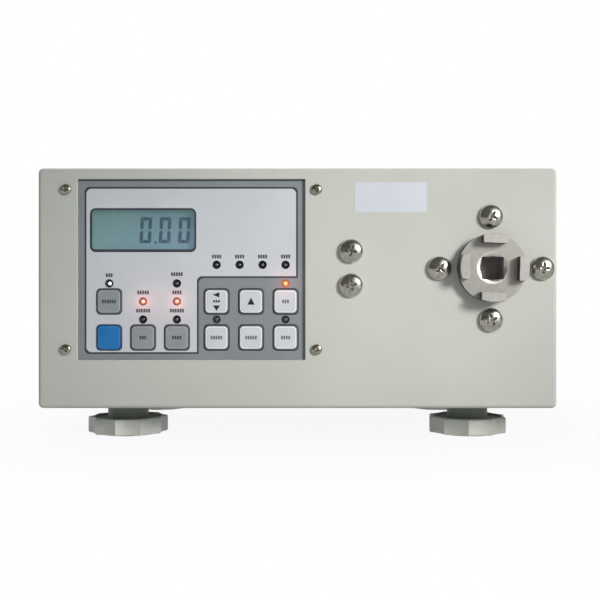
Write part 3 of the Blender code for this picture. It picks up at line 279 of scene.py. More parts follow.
def plated(name, dark, light, gloss):
    """Bright nickel, with fine polishing marks and a few duller patches."""
    finish = Finish(name, Metallic=1.0)
    patches, marks = finish.noise(420, 3.0), finish.noise(3800)
    return finish.give(
        Base_Color=finish.shade(patches, dark, light),
        Roughness=gloss + patches * 0.08 + marks * 0.05,
        Normal=finish.relief(marks, 0.000004, 0.5),
    )


def turned_steel(name, dark, light, gloss):
    """Satin steel with the rings that a lathe tool leaves round the socket's axis."""
    finish = Finish(name, Metallic=0.45, Specular_IOR_Level=0.6)
    rings = finish.vectors("LENGTH", finish.place(SOCKET, (1, 0, 1))) * 5200
    uneven = finish.noise(700, 3.0)
    return finish.give(
        Base_Color=finish.shade(uneven, dark, light),
        Roughness=gloss + uneven * 0.08,
        Normal=finish.relief(rings.maths("SINE", rings) * 0.6 + uneven * 0.5, 0.0000015, 0.4),
    )


def rolled(name, dark, light, gloss, stretch=(1, 0.06, 1), metallic=0.9):
    """Bare sheet or bar, streaked along the way it was rolled."""
    finish = Finish(name, Metallic=metallic)
    streaks = finish.noise(900, 3.0, finish.place(stretch=stretch))
    patches = finish.noise(55, 3.0)
    return finish.give(
        Base_Color=finish.shade(streaks * 0.5 + patches * 0.5, dark, light, 0.3, 0.7),
        Roughness=gloss + streaks * 0.16,
        Normal=finish.relief(streaks, 0.000008, 0.4),
    )


def cast_rubber(name, dark, light):
    finish = Finish(name, Specular_IOR_Level=0.3)
    grain = finish.noise(1900, 3.0)
    return finish.give(
        Base_Color=finish.mix(grain, srgb(*dark), srgb(*light)),
        Roughness=0.74 + grain * 0.18,
        Normal=finish.relief(grain, 0.00002, 0.6),
    )


def lit(name, edge, colour, strength):
    """A lamp that is on: a glow in dark plastic, a little uneven in colour."""
    finish = Finish(name, Roughness=0.25, Emission_Strength=strength)
    glow = finish.shade(finish.noise(900, 1.0), edge, colour, 0.3, 0.7)
    return finish.give(Base_Color=finish.mix(0.2, BLACK, glow), Emission_Color=glow)


def lcd(name, top, left, right, glow):
    """Liquid crystal behind glass, with painted shade darkening it towards its top, and a glow that is
    partly a backlight and partly painted light filling the shadow of the window's edges.
    """
    finish = Finish(name, Specular_IOR_Level=0.4, Emission_Strength=glow)
    half_width, half_height = DISPLAY_WIDTH / 2, DISPLAY_HEIGHT / 2
    across = finish.spread(finish.axis("X"), DISPLAY.x - half_width, DISPLAY.x + half_width)
    height = finish.spread(finish.axis("Z"), DISPLAY.z - half_height, DISPLAY.z + half_height)
    cloud = finish.noise(120)
    # Painted shade: towards the top the colour turns to the darker top colour
    painted_top_shade = finish.spread(height + cloud * 0.25, 0.35, 1.1)
    colour = finish.mix(painted_top_shade, finish.mix(across, srgb(*left), srgb(*right)), srgb(*top))
    # A dimmed base under a strong glow: the glow is partly a backlight and partly painted light that
    # fills the shade the window's edges cast
    dim = finish.mix(0.5, BLACK, colour)
    return finish.give(Base_Color=dim, Emission_Color=colour, Roughness=0.22 + cloud * 0.1)


def clear(name, dark, light, alpha):
    finish = Finish(name, Specular_IOR_Level=0.5)
    haze = finish.noise(45)
    return finish.give(
        Base_Color=finish.mix(haze, srgb(*dark), srgb(*light)),
        Alpha=alpha + haze * 0.02,
        Roughness=0.05 + haze * 0.05,
    )


def solder_mask(name, dark, light):
    """Green board with paler tracks under the mask."""
    finish = Finish(name, Specular_IOR_Level=0.5)
    track = finish.spread(finish.noise(160, 0.0, finish.place(stretch=(1, 1, 0.25))), 0.48, 0.5)
    return finish.give(
        Base_Color=finish.mix(track, srgb(*dark), srgb(*light)),
        Roughness=0.38 + track * 0.08,
        Normal=finish.relief(track, 0.00003, 0.4),
    )


# Each finish: its maker, its colours as on a screen, and then what the maker asks for
FINISHES = {
    "case_paint": (painted, (197, 199, 191), (205, 206, 198)),
    "grey_film": (printed, (133, 139, 144), (141, 147, 152)),
    "field_ink": (printed, (205, 208, 213), (213, 216, 221)),
    "line_ink": (printed, (52, 57, 65), (64, 69, 77)),
    "black_ink": (printed, (26, 26, 29), (38, 38, 42)),
    "sticker_film": (printed, (207, 212, 219), (215, 219, 226), 0.34),
    "key_white": (moulded, (205, 210, 215), (216, 220, 225)),
    "key_grey": (moulded, (144, 150, 154), (152, 158, 162)),
    "key_blue": (moulded, (16, 110, 178), (26, 123, 194)),
    # Lighter rims are painted highlights on the keys' chamfers, and darker frames painted shade round
    # the keys
    "white_rim": (moulded, (240, 243, 246), (248, 250, 252), 0.3),
    "grey_rim": (moulded, (166, 172, 177), (176, 181, 186), 0.3),
    "blue_rim": (moulded, (34, 130, 198), (46, 142, 208), 0.3),
    "key_frame": (moulded, (74, 79, 88), (88, 92, 101)),
    "blue_frame": (moulded, (26, 74, 122), (38, 86, 134)),
    "key_mark": (printed, (104, 108, 113), (116, 120, 125)),
    "label_ink": (printed, (62, 66, 72), (76, 80, 86)),
    "black_plastic": (moulded, (30, 30, 33), (44, 44, 48), 0.4),
    "smoked_lens": (moulded, (34, 33, 36), (46, 45, 48), 0.12),
    "lamp_die": (moulded, (98, 97, 101), (116, 114, 118), 0.25),
    "red_lamp": (lit, (198, 104, 84), (216, 124, 102), 0.86),
    "red_core": (lit, (255, 208, 172), (255, 228, 200), 1.0),
    "amber_lamp": (lit, (220, 122, 76), (232, 144, 96), 0.9),
    "amber_core": (lit, (255, 202, 140), (255, 222, 168), 1.0),
    "white_core": (lit, (232, 236, 232), (255, 255, 252), 1.1),
    # Bezels round the lit lamps glow: a painted halo of the lamps' light on the ink
    "red_ring": (lit, (166, 84, 70), (186, 100, 84), 0.62),
    "amber_ring": (lit, (190, 104, 74), (206, 122, 88), 0.68),
    "dull_lens": (moulded, (70, 72, 77), (80, 82, 88), 0.3),
    "dull_die": (moulded, (88, 90, 96), (98, 100, 106), 0.3),
    "chrome": (plated, (184, 182, 173), (210, 208, 199), 0.12),
    "nickel": (plated, (160, 158, 148), (192, 190, 180), 0.13),
    "socket_steel": (turned_steel, (174, 171, 165), (182, 179, 173), 0.30),
    "jaw_ground": (turned_steel, (190, 187, 181), (198, 195, 189), 0.28),
    # The drive's inside is darkened as painted shade
    "drive_black": (moulded, (140, 134, 133), (154, 148, 146), 0.5),
    "socket_shade": (rolled, (92, 88, 82), (108, 104, 97), 0.34, (1, 1, 1)),
    "mouth_bright": (plated, (214, 210, 204), (228, 225, 220), 0.26),
    "wheel_grey": (rolled, (208, 211, 204), (220, 222, 215), 0.34, (1, 1, 0.2), 0.3),
    "neck_grey": (rolled, (138, 143, 133), (152, 156, 146), 0.4, (1, 1, 0.2), 0.3),
    "pad_rubber": (cast_rubber, (26, 26, 28), (46, 46, 48)),
    "zinc_sheet": (rolled, (160, 163, 166), (184, 187, 190), 0.34),
    "milled_aluminium": (rolled, (168, 170, 173), (188, 190, 193), 0.32),
    "bearing_steel": (rolled, (160, 162, 166), (180, 182, 186), 0.2),
    "strap_steel": (rolled, (140, 142, 145), (160, 162, 165), 0.4),
    "port_shell": (rolled, (170, 171, 172), (192, 193, 194), 0.26),
    # The liquid crystal's top colour is painted shade, and its glow is partly painted light
    "lcd_glass": (lcd, (85, 116, 118), (100, 134, 136), (104, 134, 152), 0.80),
    "lcd_dark": (lcd, (30, 58, 72), (36, 66, 80), (40, 70, 90), 0.63),
    "lcd_ghost": (lcd, (81, 112, 114), (96, 130, 132), (100, 130, 148), 0.77),
    "lens_clear": (clear, (150, 170, 178), (205, 220, 224), 0.04),
    "board_mask": (solder_mask, (34, 84, 52), (58, 118, 74)),
    "cell_wrap": (moulded, (52, 100, 142), (64, 116, 158), 0.3, 900),
}
MATERIALS = {name: maker(name, *values).material for name, (maker, *values) in FINISHES.items()}


def mesh_of(name, bm):
    """The mesh as data of its own, and the working one freed."""
    mesh = bpy.data.meshes.new(name)
    bm.to_mesh(mesh)
    bm.free()
    return mesh


def add_object(name, data):
    made = bpy.data.objects.new(name, data)
    bpy.context.scene.collection.objects.link(made)
    return made


def cut(bm, *tools):
    """The solid without what the tools fill."""
    target, *helpers = [add_object("work", mesh_of("work", solid)) for solid in (bm, *tools)]
    for tool in helpers:
        modifier = target.modifiers.new("cut", "BOOLEAN")
        modifier.operation = "DIFFERENCE"
        modifier.object = tool
        modifier.solver = "EXACT"
    result = bmesh.new()
    result.from_object(target, bpy.context.evaluated_depsgraph_get())
    for obj in [target, *helpers]:
        bpy.data.objects.remove(obj)
    bmesh.ops.remove_doubles(result, verts=result.verts, dist=1e-7)
    return result


def join(bm, other, finish=0):
    """Adds another mesh, with all its faces in one of the piece's finishes."""
    for face in other.faces:
        face.material_index = finish
    mesh = mesh_of("joined", other)
    bm.from_mesh(mesh)
    bpy.data.meshes.remove(mesh)


def piece(name, bm, body, finishes, replaces=(), sharp=35):
    """The mesh as a piece that rides on a body and stands for the named solids."""
    bmesh.ops.recalc_face_normals(bm, faces=bm.faces)
    mesh = mesh_of(name, bm)
    mesh.shade_smooth()
    mesh.set_sharp_from_angle(angle=math.radians(sharp))
    for finish in finishes:
        mesh.materials.append(MATERIALS[finish])
    made = add_object(name, mesh)
    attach(made, body)
    if replaces:
        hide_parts(*replaces)
    even = made.modifiers.new("even_shading", "WEIGHTED_NORMAL")
    even.keep_sharp = True


def block(low, high):
    bm = bmesh.new()
    bmesh.ops.create_cube(bm, size=1)
    low, high = Vector(low), Vector(high)
    bmesh.ops.scale(bm, vec=high - low, verts=bm.verts)
    bmesh.ops.translate(bm, vec=(low + high) / 2, verts=bm.verts)
    return bm


BEVEL = {"offset_type": "OFFSET", "profile": 0.5, "material": -1}


def round_off(bm, chosen, radius, segments):
    """Rounds the edges that a test picks."""
    edges = [edge for edge in bm.edges if chosen(edge)]
    shape = {"offset": radius, "segments": segments, "affect": "EDGES", "clamp_overlap": True}
    bmesh.ops.bevel(bm, geom=edges, **shape, **BEVEL)


def along(axis):
    """A test for edges that run along an axis."""
    return lambda edge: abs((edge.verts[0].co - edge.verts[1].co).normalized()[axis]) > 0.99


def at_depth(depth):
    """A test for edges in the plane at that depth."""
    return lambda edge: all(abs(v.co.y - FRONT - depth) < GAP / 10 for v in edge.verts)


def both(first, second):
    return lambda edge: first(edge) and second(edge)


def crisp(edge):
    return len(edge.link_faces) == 2 and edge.calc_face_angle() > math.radians(40)


def draw(bm, corners, radius=0.0, steps=8, square=()):
    """A closed line through (x, z) corners, each rounded but for those that stay square."""
    face = bm.faces.new([bm.verts.new((x, 0, z)) for x, z in corners])
    if radius:
        verts = [vert for k, vert in enumerate(face.verts) if k not in square]
        shape = {"offset": radius, "segments": steps, "affect": "VERTICES"}
        bmesh.ops.bevel(bm, geom=verts, **shape, **BEVEL)


def draw_box(bm, x, z, width, height, radius=0.0, steps=8):
    w, h = width / 2, height / 2
    draw(bm, [(x - w, z - h), (x + w, z - h), (x + w, z + h), (x - w, z + h)], radius, steps)


def draw_circle(bm, x, z, radius, steps=32):
    place = Matrix.Translation((x, 0, z)) @ Matrix.Rotation(QUARTER_TURN, 4, "X")
    bmesh.ops.create_circle(bm, cap_ends=True, segments=steps, radius=radius, matrix=place)


def draw_display(bm, wider=0.0, radius=0.0, steps=8):
    """The opening of the display, made so much wider and taller."""
    size = (DISPLAY_WIDTH + wider, DISPLAY_HEIGHT + wider)
    draw_box(bm, DISPLAY.x, DISPLAY.z, *size, radius, steps)


def thicken(bm, front, back):
    """Fills between the drawn lines and gives the fill its depths."""
    bmesh.ops.delete(bm, geom=bm.faces[:], context="FACES_ONLY")
    bmesh.ops.triangle_fill(bm, use_beauty=True, edges=bm.edges[:], normal=(0, -1, 0))
    made = bmesh.ops.extrude_face_region(bm, geom=bm.faces[:])["geom"]
    moved = [item for item in made if isinstance(item, bmesh.types.BMVert)]
    bmesh.ops.translate(bm, verts=moved, vec=(0, back - front, 0))
    bmesh.ops.translate(bm, verts=bm.verts, vec=(0, FRONT + front, 0))
    bmesh.ops.recalc_face_normals(bm, faces=bm.faces)
    return bm


def plate(front, back, *shapes):
    """A plate between two depths, inside drawn lines, each a function and what it is given."""
    bm = bmesh.new()
    for shape, *values in shapes:
        shape(bm, *values)
    return thicken(bm, front, back)


def all_joined(parts):
    bm = bmesh.new()
    for part in parts:
        join(bm, part)
    return bm


def spun(profile, steps):
    """A profile of (radius, depth) turned about the Y axis."""
    bm = bmesh.new()
    verts = [bm.verts.new((radius, depth, 0)) for radius, depth in profile]
    edges = [bm.edges.new(pair) for pair in zip(verts, verts[1:])]
    bmesh.ops.spin(
        bm,
        geom=verts + edges,
        axis=(0, 1, 0),
        angle=2 * HALF_TURN,
        steps=steps,
        use_merge=True,
    )
    bmesh.ops.remove_doubles(bm, verts=bm.verts, dist=1e-6)
    bmesh.ops.recalc_face_normals(bm, faces=bm.faces)
    return bm


def set_place(bm, matrix):
    bmesh.ops.transform(bm, matrix=matrix, verts=bm.verts)
    return bm


def at_front(x, z, depth=0.0):
    return Matrix.Translation((x, FRONT + depth, z))


# Front panel: a pan with soft bends, its window and its bores
SMALL_HOLE, BIG_HOLE = SMALL_SCREW + GAP, BIG_SCREW + GAP
BEND_STEPS = 6
WINDOW_BEND, HOLE_BEND = 0.0005, 0.00025


def front_shell():
    inward, backward = Vector((SHEET, 0, SHEET)), Vector((0, SHEET, 0))
    shell = block(CASE_LOW, CASE_HIGH)
    round_off(shell, along(1), CORNER_RADIUS, BEND_STEPS)
    round_off(shell, at_depth(0), EDGE_RADIUS, BEND_STEPS)
    hollow = block(CASE_LOW + inward + backward, CASE_HIGH - inward + backward)
    round_off(hollow, along(1), CORNER_RADIUS - SHEET, BEND_STEPS)
    round_off(hollow, at_depth(SHEET), EDGE_RADIUS - SHEET, 3)
    holes = [(draw_circle, SOCKET.x, SOCKET.z, BOSS_RADIUS + BOSS_CLEAR, 64)]
    small = numbered("panel_screw", 4)
    for nodes, radius, steps in ((small, SMALL_HOLE, 16), (BIG_SCREWS, BIG_HOLE, 24)):
        for node in nodes:
            holes.append((draw_circle, centre_of(node).x, centre_of(node).z, radius, steps))
    window = (WINDOW_X, WINDOW_Z, WINDOW_WIDTH, WINDOW_HEIGHT, WINDOW_CORNER, 3)
    shell = cut(shell, hollow, plate(-SHEET, 2 * SHEET, *holes, (draw_box, *window)))
    in_window = lambda edge: all(
        WINDOW_LEFT - GAP < v.co.x < WINDOW_RIGHT + GAP and WINDOW_LOW - GAP < v.co.z < WINDOW_TOP + GAP
        for v in edge.verts
    )
    front_edges = both(at_depth(0), crisp)
    round_off(shell, both(front_edges, in_window), WINDOW_BEND, 4)
    round_off(shell, front_edges, HOLE_BEND, 2)
    piece("front_shell", shell, "case", ["case_paint"], ["front_panel"])


# Cover: top and sides in one sheet, folded in at the back
def cover_shell():
    down = Vector((0, 0, SHEET))
    shell = block(COVER_LOW, COVER_HIGH)
    top_edges = lambda edge: all(v.co.z > COVER_HIGH.z - GAP for v in edge.verts)
    back_edges = lambda edge: all(v.co.y > COVER_HIGH.y - GAP for v in edge.verts)
    not_low = lambda edge: any(v.co.z > COVER_LOW.z + GAP for v in edge.verts)
    round_off(shell, both(along(1), top_edges), CORNER_RADIUS, BEND_STEPS)
    round_off(shell, both(back_edges, not_low), EDGE_RADIUS, BEND_STEPS)
    aside = Vector((SHEET, 0, 0))
    low = COVER_LOW + aside - Vector((0, SHEET, SHEET))
    high = COVER_HIGH - aside - down - Vector((0, SHEET, 0))
    hollow = block(low, high)
    hollow_top = lambda edge: all(v.co.z > high.z - GAP for v in edge.verts)
    round_off(hollow, both(along(1), hollow_top), CORNER_RADIUS - SHEET, BEND_STEPS)
    side, deep = Vector((RETURN_FLANGE, 0, 0)), Vector((0, 2 * SHEET, 0))
    low = Vector((COVER_LOW.x, COVER_HIGH.y, COVER_LOW.z - SHEET)) + side - deep
    high = COVER_HIGH - side - Vector((0, 0, RETURN_FLANGE)) + deep
    opening = block(low, high)
    round_off(opening, along(1), CORNER_RADIUS, BEND_STEPS)
    shell = cut(shell, hollow, opening)
    piece("cover_shell", shell, "case", ["case_paint"], ["top_cover"])


front_shell()
cover_shell()

# Recessed panel: a film with the keys, lamps and display cut out, and the print on it
STATUS_ROW = LAMPS_ABOVE + STATUS_RISE
STATUS_PITCH = (RIGHT_X[2] - RIGHT_X[0]) / 3
LAMPS = {
    "power": (LEFT_X[0], LAMPS_ABOVE),
    "left_top": (LEFT_X[2], LAMPS_ABOVE),
    "right_top": (RIGHT_X[2], LAMPS_ABOVE),
    "left_middle_1": (LEFT_X[1], UPPER_ROW),
    "left_middle_2": (LEFT_X[2], UPPER_ROW),
    "left_low_1": (LEFT_X[1], LAMPS_BETWEEN),
    "left_low_2": (LEFT_X[2], LAMPS_BETWEEN),
    "right_low_1": (RIGHT_X[0], LAMPS_BETWEEN),
    "right_low_2": (RIGHT_X[2], LAMPS_BETWEEN),
}
for k in range(4):
    LAMPS[f"status_{k + 1}"] = (RIGHT_X[0] + k * STATUS_PITCH, STATUS_ROW)
LAMP_HOLE, LAMP_BEZEL = 0.0017, 0.0021
KEY_PLAY = 0.00025
LIT = {
    "left_middle_1": ("red_lamp", "red_core"),
    "left_middle_2": ("red_lamp", "red_core"),
    "right_top": ("amber_lamp", "amber_core"),
    "power": ("lamp_die", "white_core"),
}
DULL = ("right_low_1", "right_low_2")

# Marks beside the lamps, each with its lamp, its rise above it and its width
BLOCK_WIDTH, BLOCK_PITCH, BLOCK_CORNER = 0.0009, 0.0012, 0.000225
LABEL_HEIGHT, KEY_MARK_HEIGHT = 0.0019, 0.0018
LABELS = [(name, 0.0041, 0.0040) for name in numbered("status", 4)] + [
    ("power", 0.0041, 0.0028),
    ("left_top", 0.0046, 0.0058),
    ("left_middle_1", 0.0045, 0.0062),
    ("left_middle_2", 0.0045, 0.0044),
    ("left_low_1", 0.0044, 0.0072),
    ("left_low_2", 0.0044, 0.0072),
]


def pierce(bm, left, right):
    """The openings of the keys and lamps whose middles lie between two places across."""
    for node in KEYS:
        place = centre_of(node)
        if left < place.x < right:
            width, height = KEY_WIDTH + 2 * KEY_PLAY, KEY_HEIGHT + 2 * KEY_PLAY
            draw_box(bm, place.x, place.z, width, height, KEY_CORNER + KEY_PLAY / 2)
    for x, z in LAMPS.values():
        if left < x < right:
            draw_circle(bm, x, z, LAMP_HOLE)


def draw_blocks(bm, x, z, width, height):
    """A row of small blocks, as wide as asked."""
    count = max(1, round((width - BLOCK_WIDTH) / BLOCK_PITCH) + 1)
    for k in range(count):
        across = x + (k - (count - 1) / 2) * BLOCK_PITCH
        draw_box(bm, across, z, BLOCK_WIDTH, height, BLOCK_CORNER, 2)


def print_plate(coats, *shapes):
    """Ink on the film, so many coats thick."""
    return plate(PRINT_BACK - coats * INK, PRINT_BACK, *shapes)


def ring(lamp):
    place = LAMPS[lamp]
    return print_plate(4, (draw_circle, *place, LAMP_BEZEL), (draw_circle, *place, LAMP_HOLE))


def label(lamp, rise, width):
    x, z = LAMPS[lamp]
    return print_plate(3, (draw_blocks, x, z + rise, width, LABEL_HEIGHT))


def field(coats, out):
    """The pale field, grown by so much all round."""
    corners = [
        (FIELD_LEFT - out, FIELD_LOW - out),
        (BLOCK_LEFT + out, FIELD_LOW - out),
        (BLOCK_LEFT + out, BLOCK_TOP - out),
        (FIELD_RIGHT + out, BLOCK_TOP - out),
        (FIELD_RIGHT + out, FIELD_TOP + out),
        (FIELD_LEFT - out, FIELD_TOP + out),
    ]
    return print_plate(
        coats,
        (draw, corners, FIELD_CORNER, 8, (1, 3)),
        (draw_display, 0.0, DISPLAY_CORNER),
        (pierce, WINDOW_LEFT, BLOCK_LEFT),
        *[(draw_circle, *LAMPS[name], LAMP_HOLE) for name in numbered("status", 4)],
    )


def film_and_print():
    size = (WINDOW_WIDTH + 2 * FILM_LAP, WINDOW_HEIGHT + 2 * FILM_LAP)
    film = plate(
        PRINT_BACK,
        PANEL_FRONT,
        (draw_box, WINDOW_X, WINDOW_Z, *size, SHEET),
        (draw_display, 0.0, DISPLAY_CORNER),
        (pierce, WINDOW_LEFT, WINDOW_RIGHT),
    )
    # A dark strip along the top of the window: painted shadow under its upper edge
    top_shadow = print_plate(2, (draw_box, WINDOW_X, WINDOW_TOP, WINDOW_WIDTH, 2 * TOP_SHADOW_SHOWN))
    inner = (DISPLAY.x, DISPLAY.z + LINE_WIDTH / 4, DISPLAY_WIDTH - LINE_WIDTH)
    display_line = print_plate(
        3,
        (draw_display, LINE_WIDTH, DISPLAY_CORNER + LINE_WIDTH / 2),
        (draw_box, *inner, DISPLAY_HEIGHT - 1.6 * LINE_WIDTH, DISPLAY_CORNER - LINE_WIDTH / 2),
    )
    smoked = [name for name in LAMPS if name not in (*LIT, *DULL) or name == "power"]
    red = [name for name in LIT if name.startswith("left")]
    for name, bm, finish in (
        ("panel_film", film, "grey_film"),
        ("window_top_shadow", top_shadow, "key_frame"),
        ("field_outline", field(1, LINE_WIDTH), "line_ink"),
        ("field_print", field(2, 0.0), "field_ink"),
        ("display_line", display_line, "line_ink"),
        ("lamp_bezels", all_joined(map(ring, smoked)), "black_ink"),
        ("dull_bezels", all_joined(map(ring, DULL)), "dull_lens"),
        # These bezels glow with a painted halo of their lamps' light
        ("red_glow_bezels", all_joined(map(ring, red)), "red_ring"),
        ("amber_glow_bezel", all_joined([ring("right_top")]), "amber_ring"),
        ("panel_marks", all_joined(label(*values) for values in LABELS), "label_ink"),
    ):
        piece(name, bm, "case", [finish])


film_and_print()

# Display: a clear window over the liquid crystal, with a reading on it
LENS_FRONT, LENS_STEP, LENS_BACK, LENS_BEND = PANEL_FRONT + GAP, 0.0042, 0.0050, 0.0002
MODULE_FRONT, MODULE_BACK = 0.0053, 0.0125
MODULE_STEP = MODULE_FRONT + 0.0008
LENS_LIP, MODULE_RIM = 0.003, 0.006
DIGIT_WIDTH, DIGIT_HEIGHT, DIGIT_STROKE = 0.0058, 0.0130, 0.00172
DIGIT_PITCH = 0.00965
DIGIT_SLANT = math.tan(math.radians(3))
LAST_DIGIT_X, DIGIT_Z = -0.05678, BASE + 0.08885
POINT_SIZE, POINT_CORNER, POINT_DROP = 0.0012, 0.0002, 0.0062
SEGMENT_GAP = 0.00012


def upper_bar(w, h, stroke):
    """The bar along the top of a digit, with mitred ends."""
    g = SEGMENT_GAP
    return [(g - w, h), (w - g, h), (w - stroke - g, h - stroke), (stroke + g - w, h - stroke)]


def upper_side(w, h, stroke):
    """The upper right bar, mitred above and pointed at the middle of the digit."""
    g = SEGMENT_GAP
    return [
        (w, h - g),
        (w, stroke / 2 + g),
        (w - stroke / 2, g),
        (w - stroke, stroke / 2 + g),
        (w - stroke, h - stroke - g),
    ]


def middle_bar(w, h, stroke):
    end = w - stroke / 2 - SEGMENT_GAP
    flat = end - stroke / 2
    half = stroke / 2
    return [(-end, 0), (-flat, half), (flat, half), (end, 0), (flat, -half), (-flat, -half)]


def digit(bm, x, z, segments):
    """Segments a to g of one digit, those in the list, leaning a little to the right."""
    shapes = {
        "a": (upper_bar, 1, 1),
        "b": (upper_side, 1, 1),
        "c": (upper_side, 1, -1),
        "d": (upper_bar, 1, -1),
        "e": (upper_side, -1, -1),
        "f": (upper_side, -1, 1),
        "g": (middle_bar, 1, 1),
    }
    for segment in segments:
        shape, across, up = shapes[segment]
        corners = shape(DIGIT_WIDTH / 2, DIGIT_HEIGHT / 2, DIGIT_STROKE)
        draw(bm, [(x + u * across + v * up * DIGIT_SLANT, z + v * up) for u, v in corners])


def display():
    lens = plate(LENS_FRONT, LENS_STEP, (draw_display, -2 * GAP, DISPLAY_CORNER - GAP))
    round_off(lens, both(at_depth(LENS_FRONT), crisp), LENS_BEND, 2)
    join(lens, plate(LENS_STEP, LENS_BACK, (draw_display, LENS_LIP, DISPLAY_CORNER)))
    piece("display_lens", lens, "case", ["lens_clear"], ["display_window"])
    module = plate(MODULE_FRONT, MODULE_STEP, (draw_display,))
    join(module, plate(MODULE_STEP, MODULE_BACK, (draw_display, MODULE_RIM, GAP, 3)), 1)
    finishes = ["lcd_glass", "black_plastic"]
    piece("lcd_module", module, "case", finishes, ["display_module"])
    places = [(LAST_DIGIT_X - k * DIGIT_PITCH, DIGIT_Z) for k in range(3)]
    point_x = LAST_DIGIT_X - 1.5 * DIGIT_PITCH
    point = (point_x, DIGIT_Z - POINT_DROP, POINT_SIZE, POINT_SIZE, POINT_CORNER, 3)
    reading = [(digit, *place, "abcdef") for place in places] + [(draw_box, *point)]
    ghosts = [(digit, *place, "g") for place in places]
    for name, shapes, finish in (
        ("lcd_reading", reading, "lcd_dark"),
        ("lcd_ghosts", ghosts, "lcd_ghost"),
    ):
        lines = plate(MODULE_FRONT - INK, MODULE_FRONT, *shapes)
        piece(name, lines, "case", [finish])


display()

# Keys: a pale top in a frame darkened with painted shade, a painted highlight on the chamfer between,
# over a lip, and a stem behind
KEY_FRONT = PANEL_FRONT - 0.0010
KEY_SHOULDER = KEY_FRONT + 0.0003
KEY_ROUND = 0.0004
KEY_BORDER = 0.0008
KEY_CHAMFER = 0.0005
KEY_DISH = 0.00005
KEY_LIP, KEY_STEM = 0.00075, 0.0040
LIP_FRONT, LIP_BACK, STEM_END = 0.0042, 0.0054, 0.0074
# The frame's darker finish is painted shade round the key, and the rim's lighter finish a painted
# highlight on its chamfer
TOP, FRAME, MARK, RIM = 0, 1, 2, 3
RIM_RISE, RIM_LEAN = 0.0002, 0.00004


def carry_on(bm, ring):
    """Extrudes a ring of edges, and gives its new vertices, edges and faces."""
    made = bmesh.ops.extrude_edge_only(bm, edges=ring)["geom"]
    verts, edges, faces = [
        [item for item in made if isinstance(item, kind)]
        for kind in (bmesh.types.BMVert, bmesh.types.BMEdge, bmesh.types.BMFace)
    ]
    return verts, [edge for edge in edges if all(v in verts for v in edge.verts)], faces


def grow_to(bm, ring, place, sizes, finish):
    """Carries a rectangular ring on through new sizes, each a width, a height and a depth."""
    low = [min(v.co[axis] for edge in ring for v in edge.verts) for axis in range(3)]
    high = [max(v.co[axis] for edge in ring for v in edge.verts) for axis in range(3)]
    width, height, depth = high[0] - low[0], high[2] - low[2], low[1] - FRONT
    centre = Matrix.Translation((-place.x, 0, -place.z))
    for new_width, new_height, new_depth in sizes:
        verts, ring, faces = carry_on(bm, ring)
        scale = (new_width / width, 1, new_height / height)
        bmesh.ops.translate(bm, verts=verts, vec=(0, new_depth - depth, 0))
        bmesh.ops.scale(bm, verts=verts, vec=scale, space=centre)
        for face in faces:
            face.material_index = finish
        width, height, depth = new_width, new_height, new_depth
    return ring


def fill(bm, ring, finish):
    for face in bmesh.ops.edgeloop_fill(bm, edges=ring)["faces"]:
        face.material_index = finish


def inset_sizes(steps):
    return [(KEY_WIDTH - 2 * inset, KEY_HEIGHT - 2 * inset, depth) for inset, depth in steps]


def key_body(place):
    """One surface from the middle of the top out over the edge and back to the end of the stem."""
    bm = bmesh.new()
    draw_box(bm, place.x, place.z, KEY_WIDTH, KEY_HEIGHT, KEY_CORNER)
    bmesh.ops.delete(bm, geom=bm.faces[:], context="FACES_ONLY")
    set_place(bm, at_front(0, 0, KEY_SHOULDER + KEY_ROUND))
    outer = bm.edges[:]
    frame_steps = [
        (KEY_ROUND * (1 - cosine), KEY_SHOULDER + KEY_ROUND * (1 - sine))
        for sine, cosine in quarter(4, 1)
    ]
    frame_steps.append((KEY_BORDER, KEY_SHOULDER))
    rim_steps = [
        (KEY_BORDER + RIM_LEAN, KEY_SHOULDER - RIM_RISE),
        (KEY_BORDER + KEY_CHAMFER, KEY_FRONT),
    ]
    top_steps = [(KEY_BORDER + 2 * KEY_CHAMFER, KEY_FRONT + KEY_DISH)]
    ring = grow_to(bm, outer, place, inset_sizes(frame_steps), FRAME)
    ring = grow_to(bm, ring, place, inset_sizes(rim_steps), RIM)
    ring = grow_to(bm, ring, place, inset_sizes(top_steps), TOP)
    fill(bm, ring, TOP)
    lip = (KEY_WIDTH + 2 * KEY_LIP, KEY_HEIGHT + 2 * KEY_LIP)
    back = [
        (KEY_WIDTH, KEY_HEIGHT, LIP_FRONT),
        (*lip, LIP_FRONT),
        (*lip, LIP_BACK),
        (KEY_STEM, KEY_STEM, LIP_BACK),
        (KEY_STEM, KEY_STEM, STEM_END),
    ]
    fill(bm, grow_to(bm, outer, place, back, FRAME), FRAME)
    return bm


# Arrow heads on two keys, as places round the middle of the key, and rows of blocks on others
LEFT_ARROW = [(-0.0019, 0.0033), (0.0014, 0.0020), (0.0014, 0.0046)]
DOWN_ARROW = [(0.0, -0.0047), (0.0017, -0.0020), (-0.0017, -0.0020)]
UP_ARROW = [(-0.0018, -0.0016), (0.0018, -0.0016), (0.0, 0.0020)]
ARROWS = {"right_key_1": [LEFT_ARROW, DOWN_ARROW], "right_key_2": [UP_ARROW]}
BETWEEN_RISE, BETWEEN_WIDTH, BETWEEN_HEIGHT = 0.0001, 0.0032, 0.0012
MARK_WIDTHS = {
    "left_key_1": 0.0070,
    "left_key_3": 0.0034,
    "left_key_4": 0.0046,
    "right_key_3": 0.0032,
    "right_key_4": 0.0054,
    "right_key_5": 0.0054,
    "right_key_6": 0.0044,
}


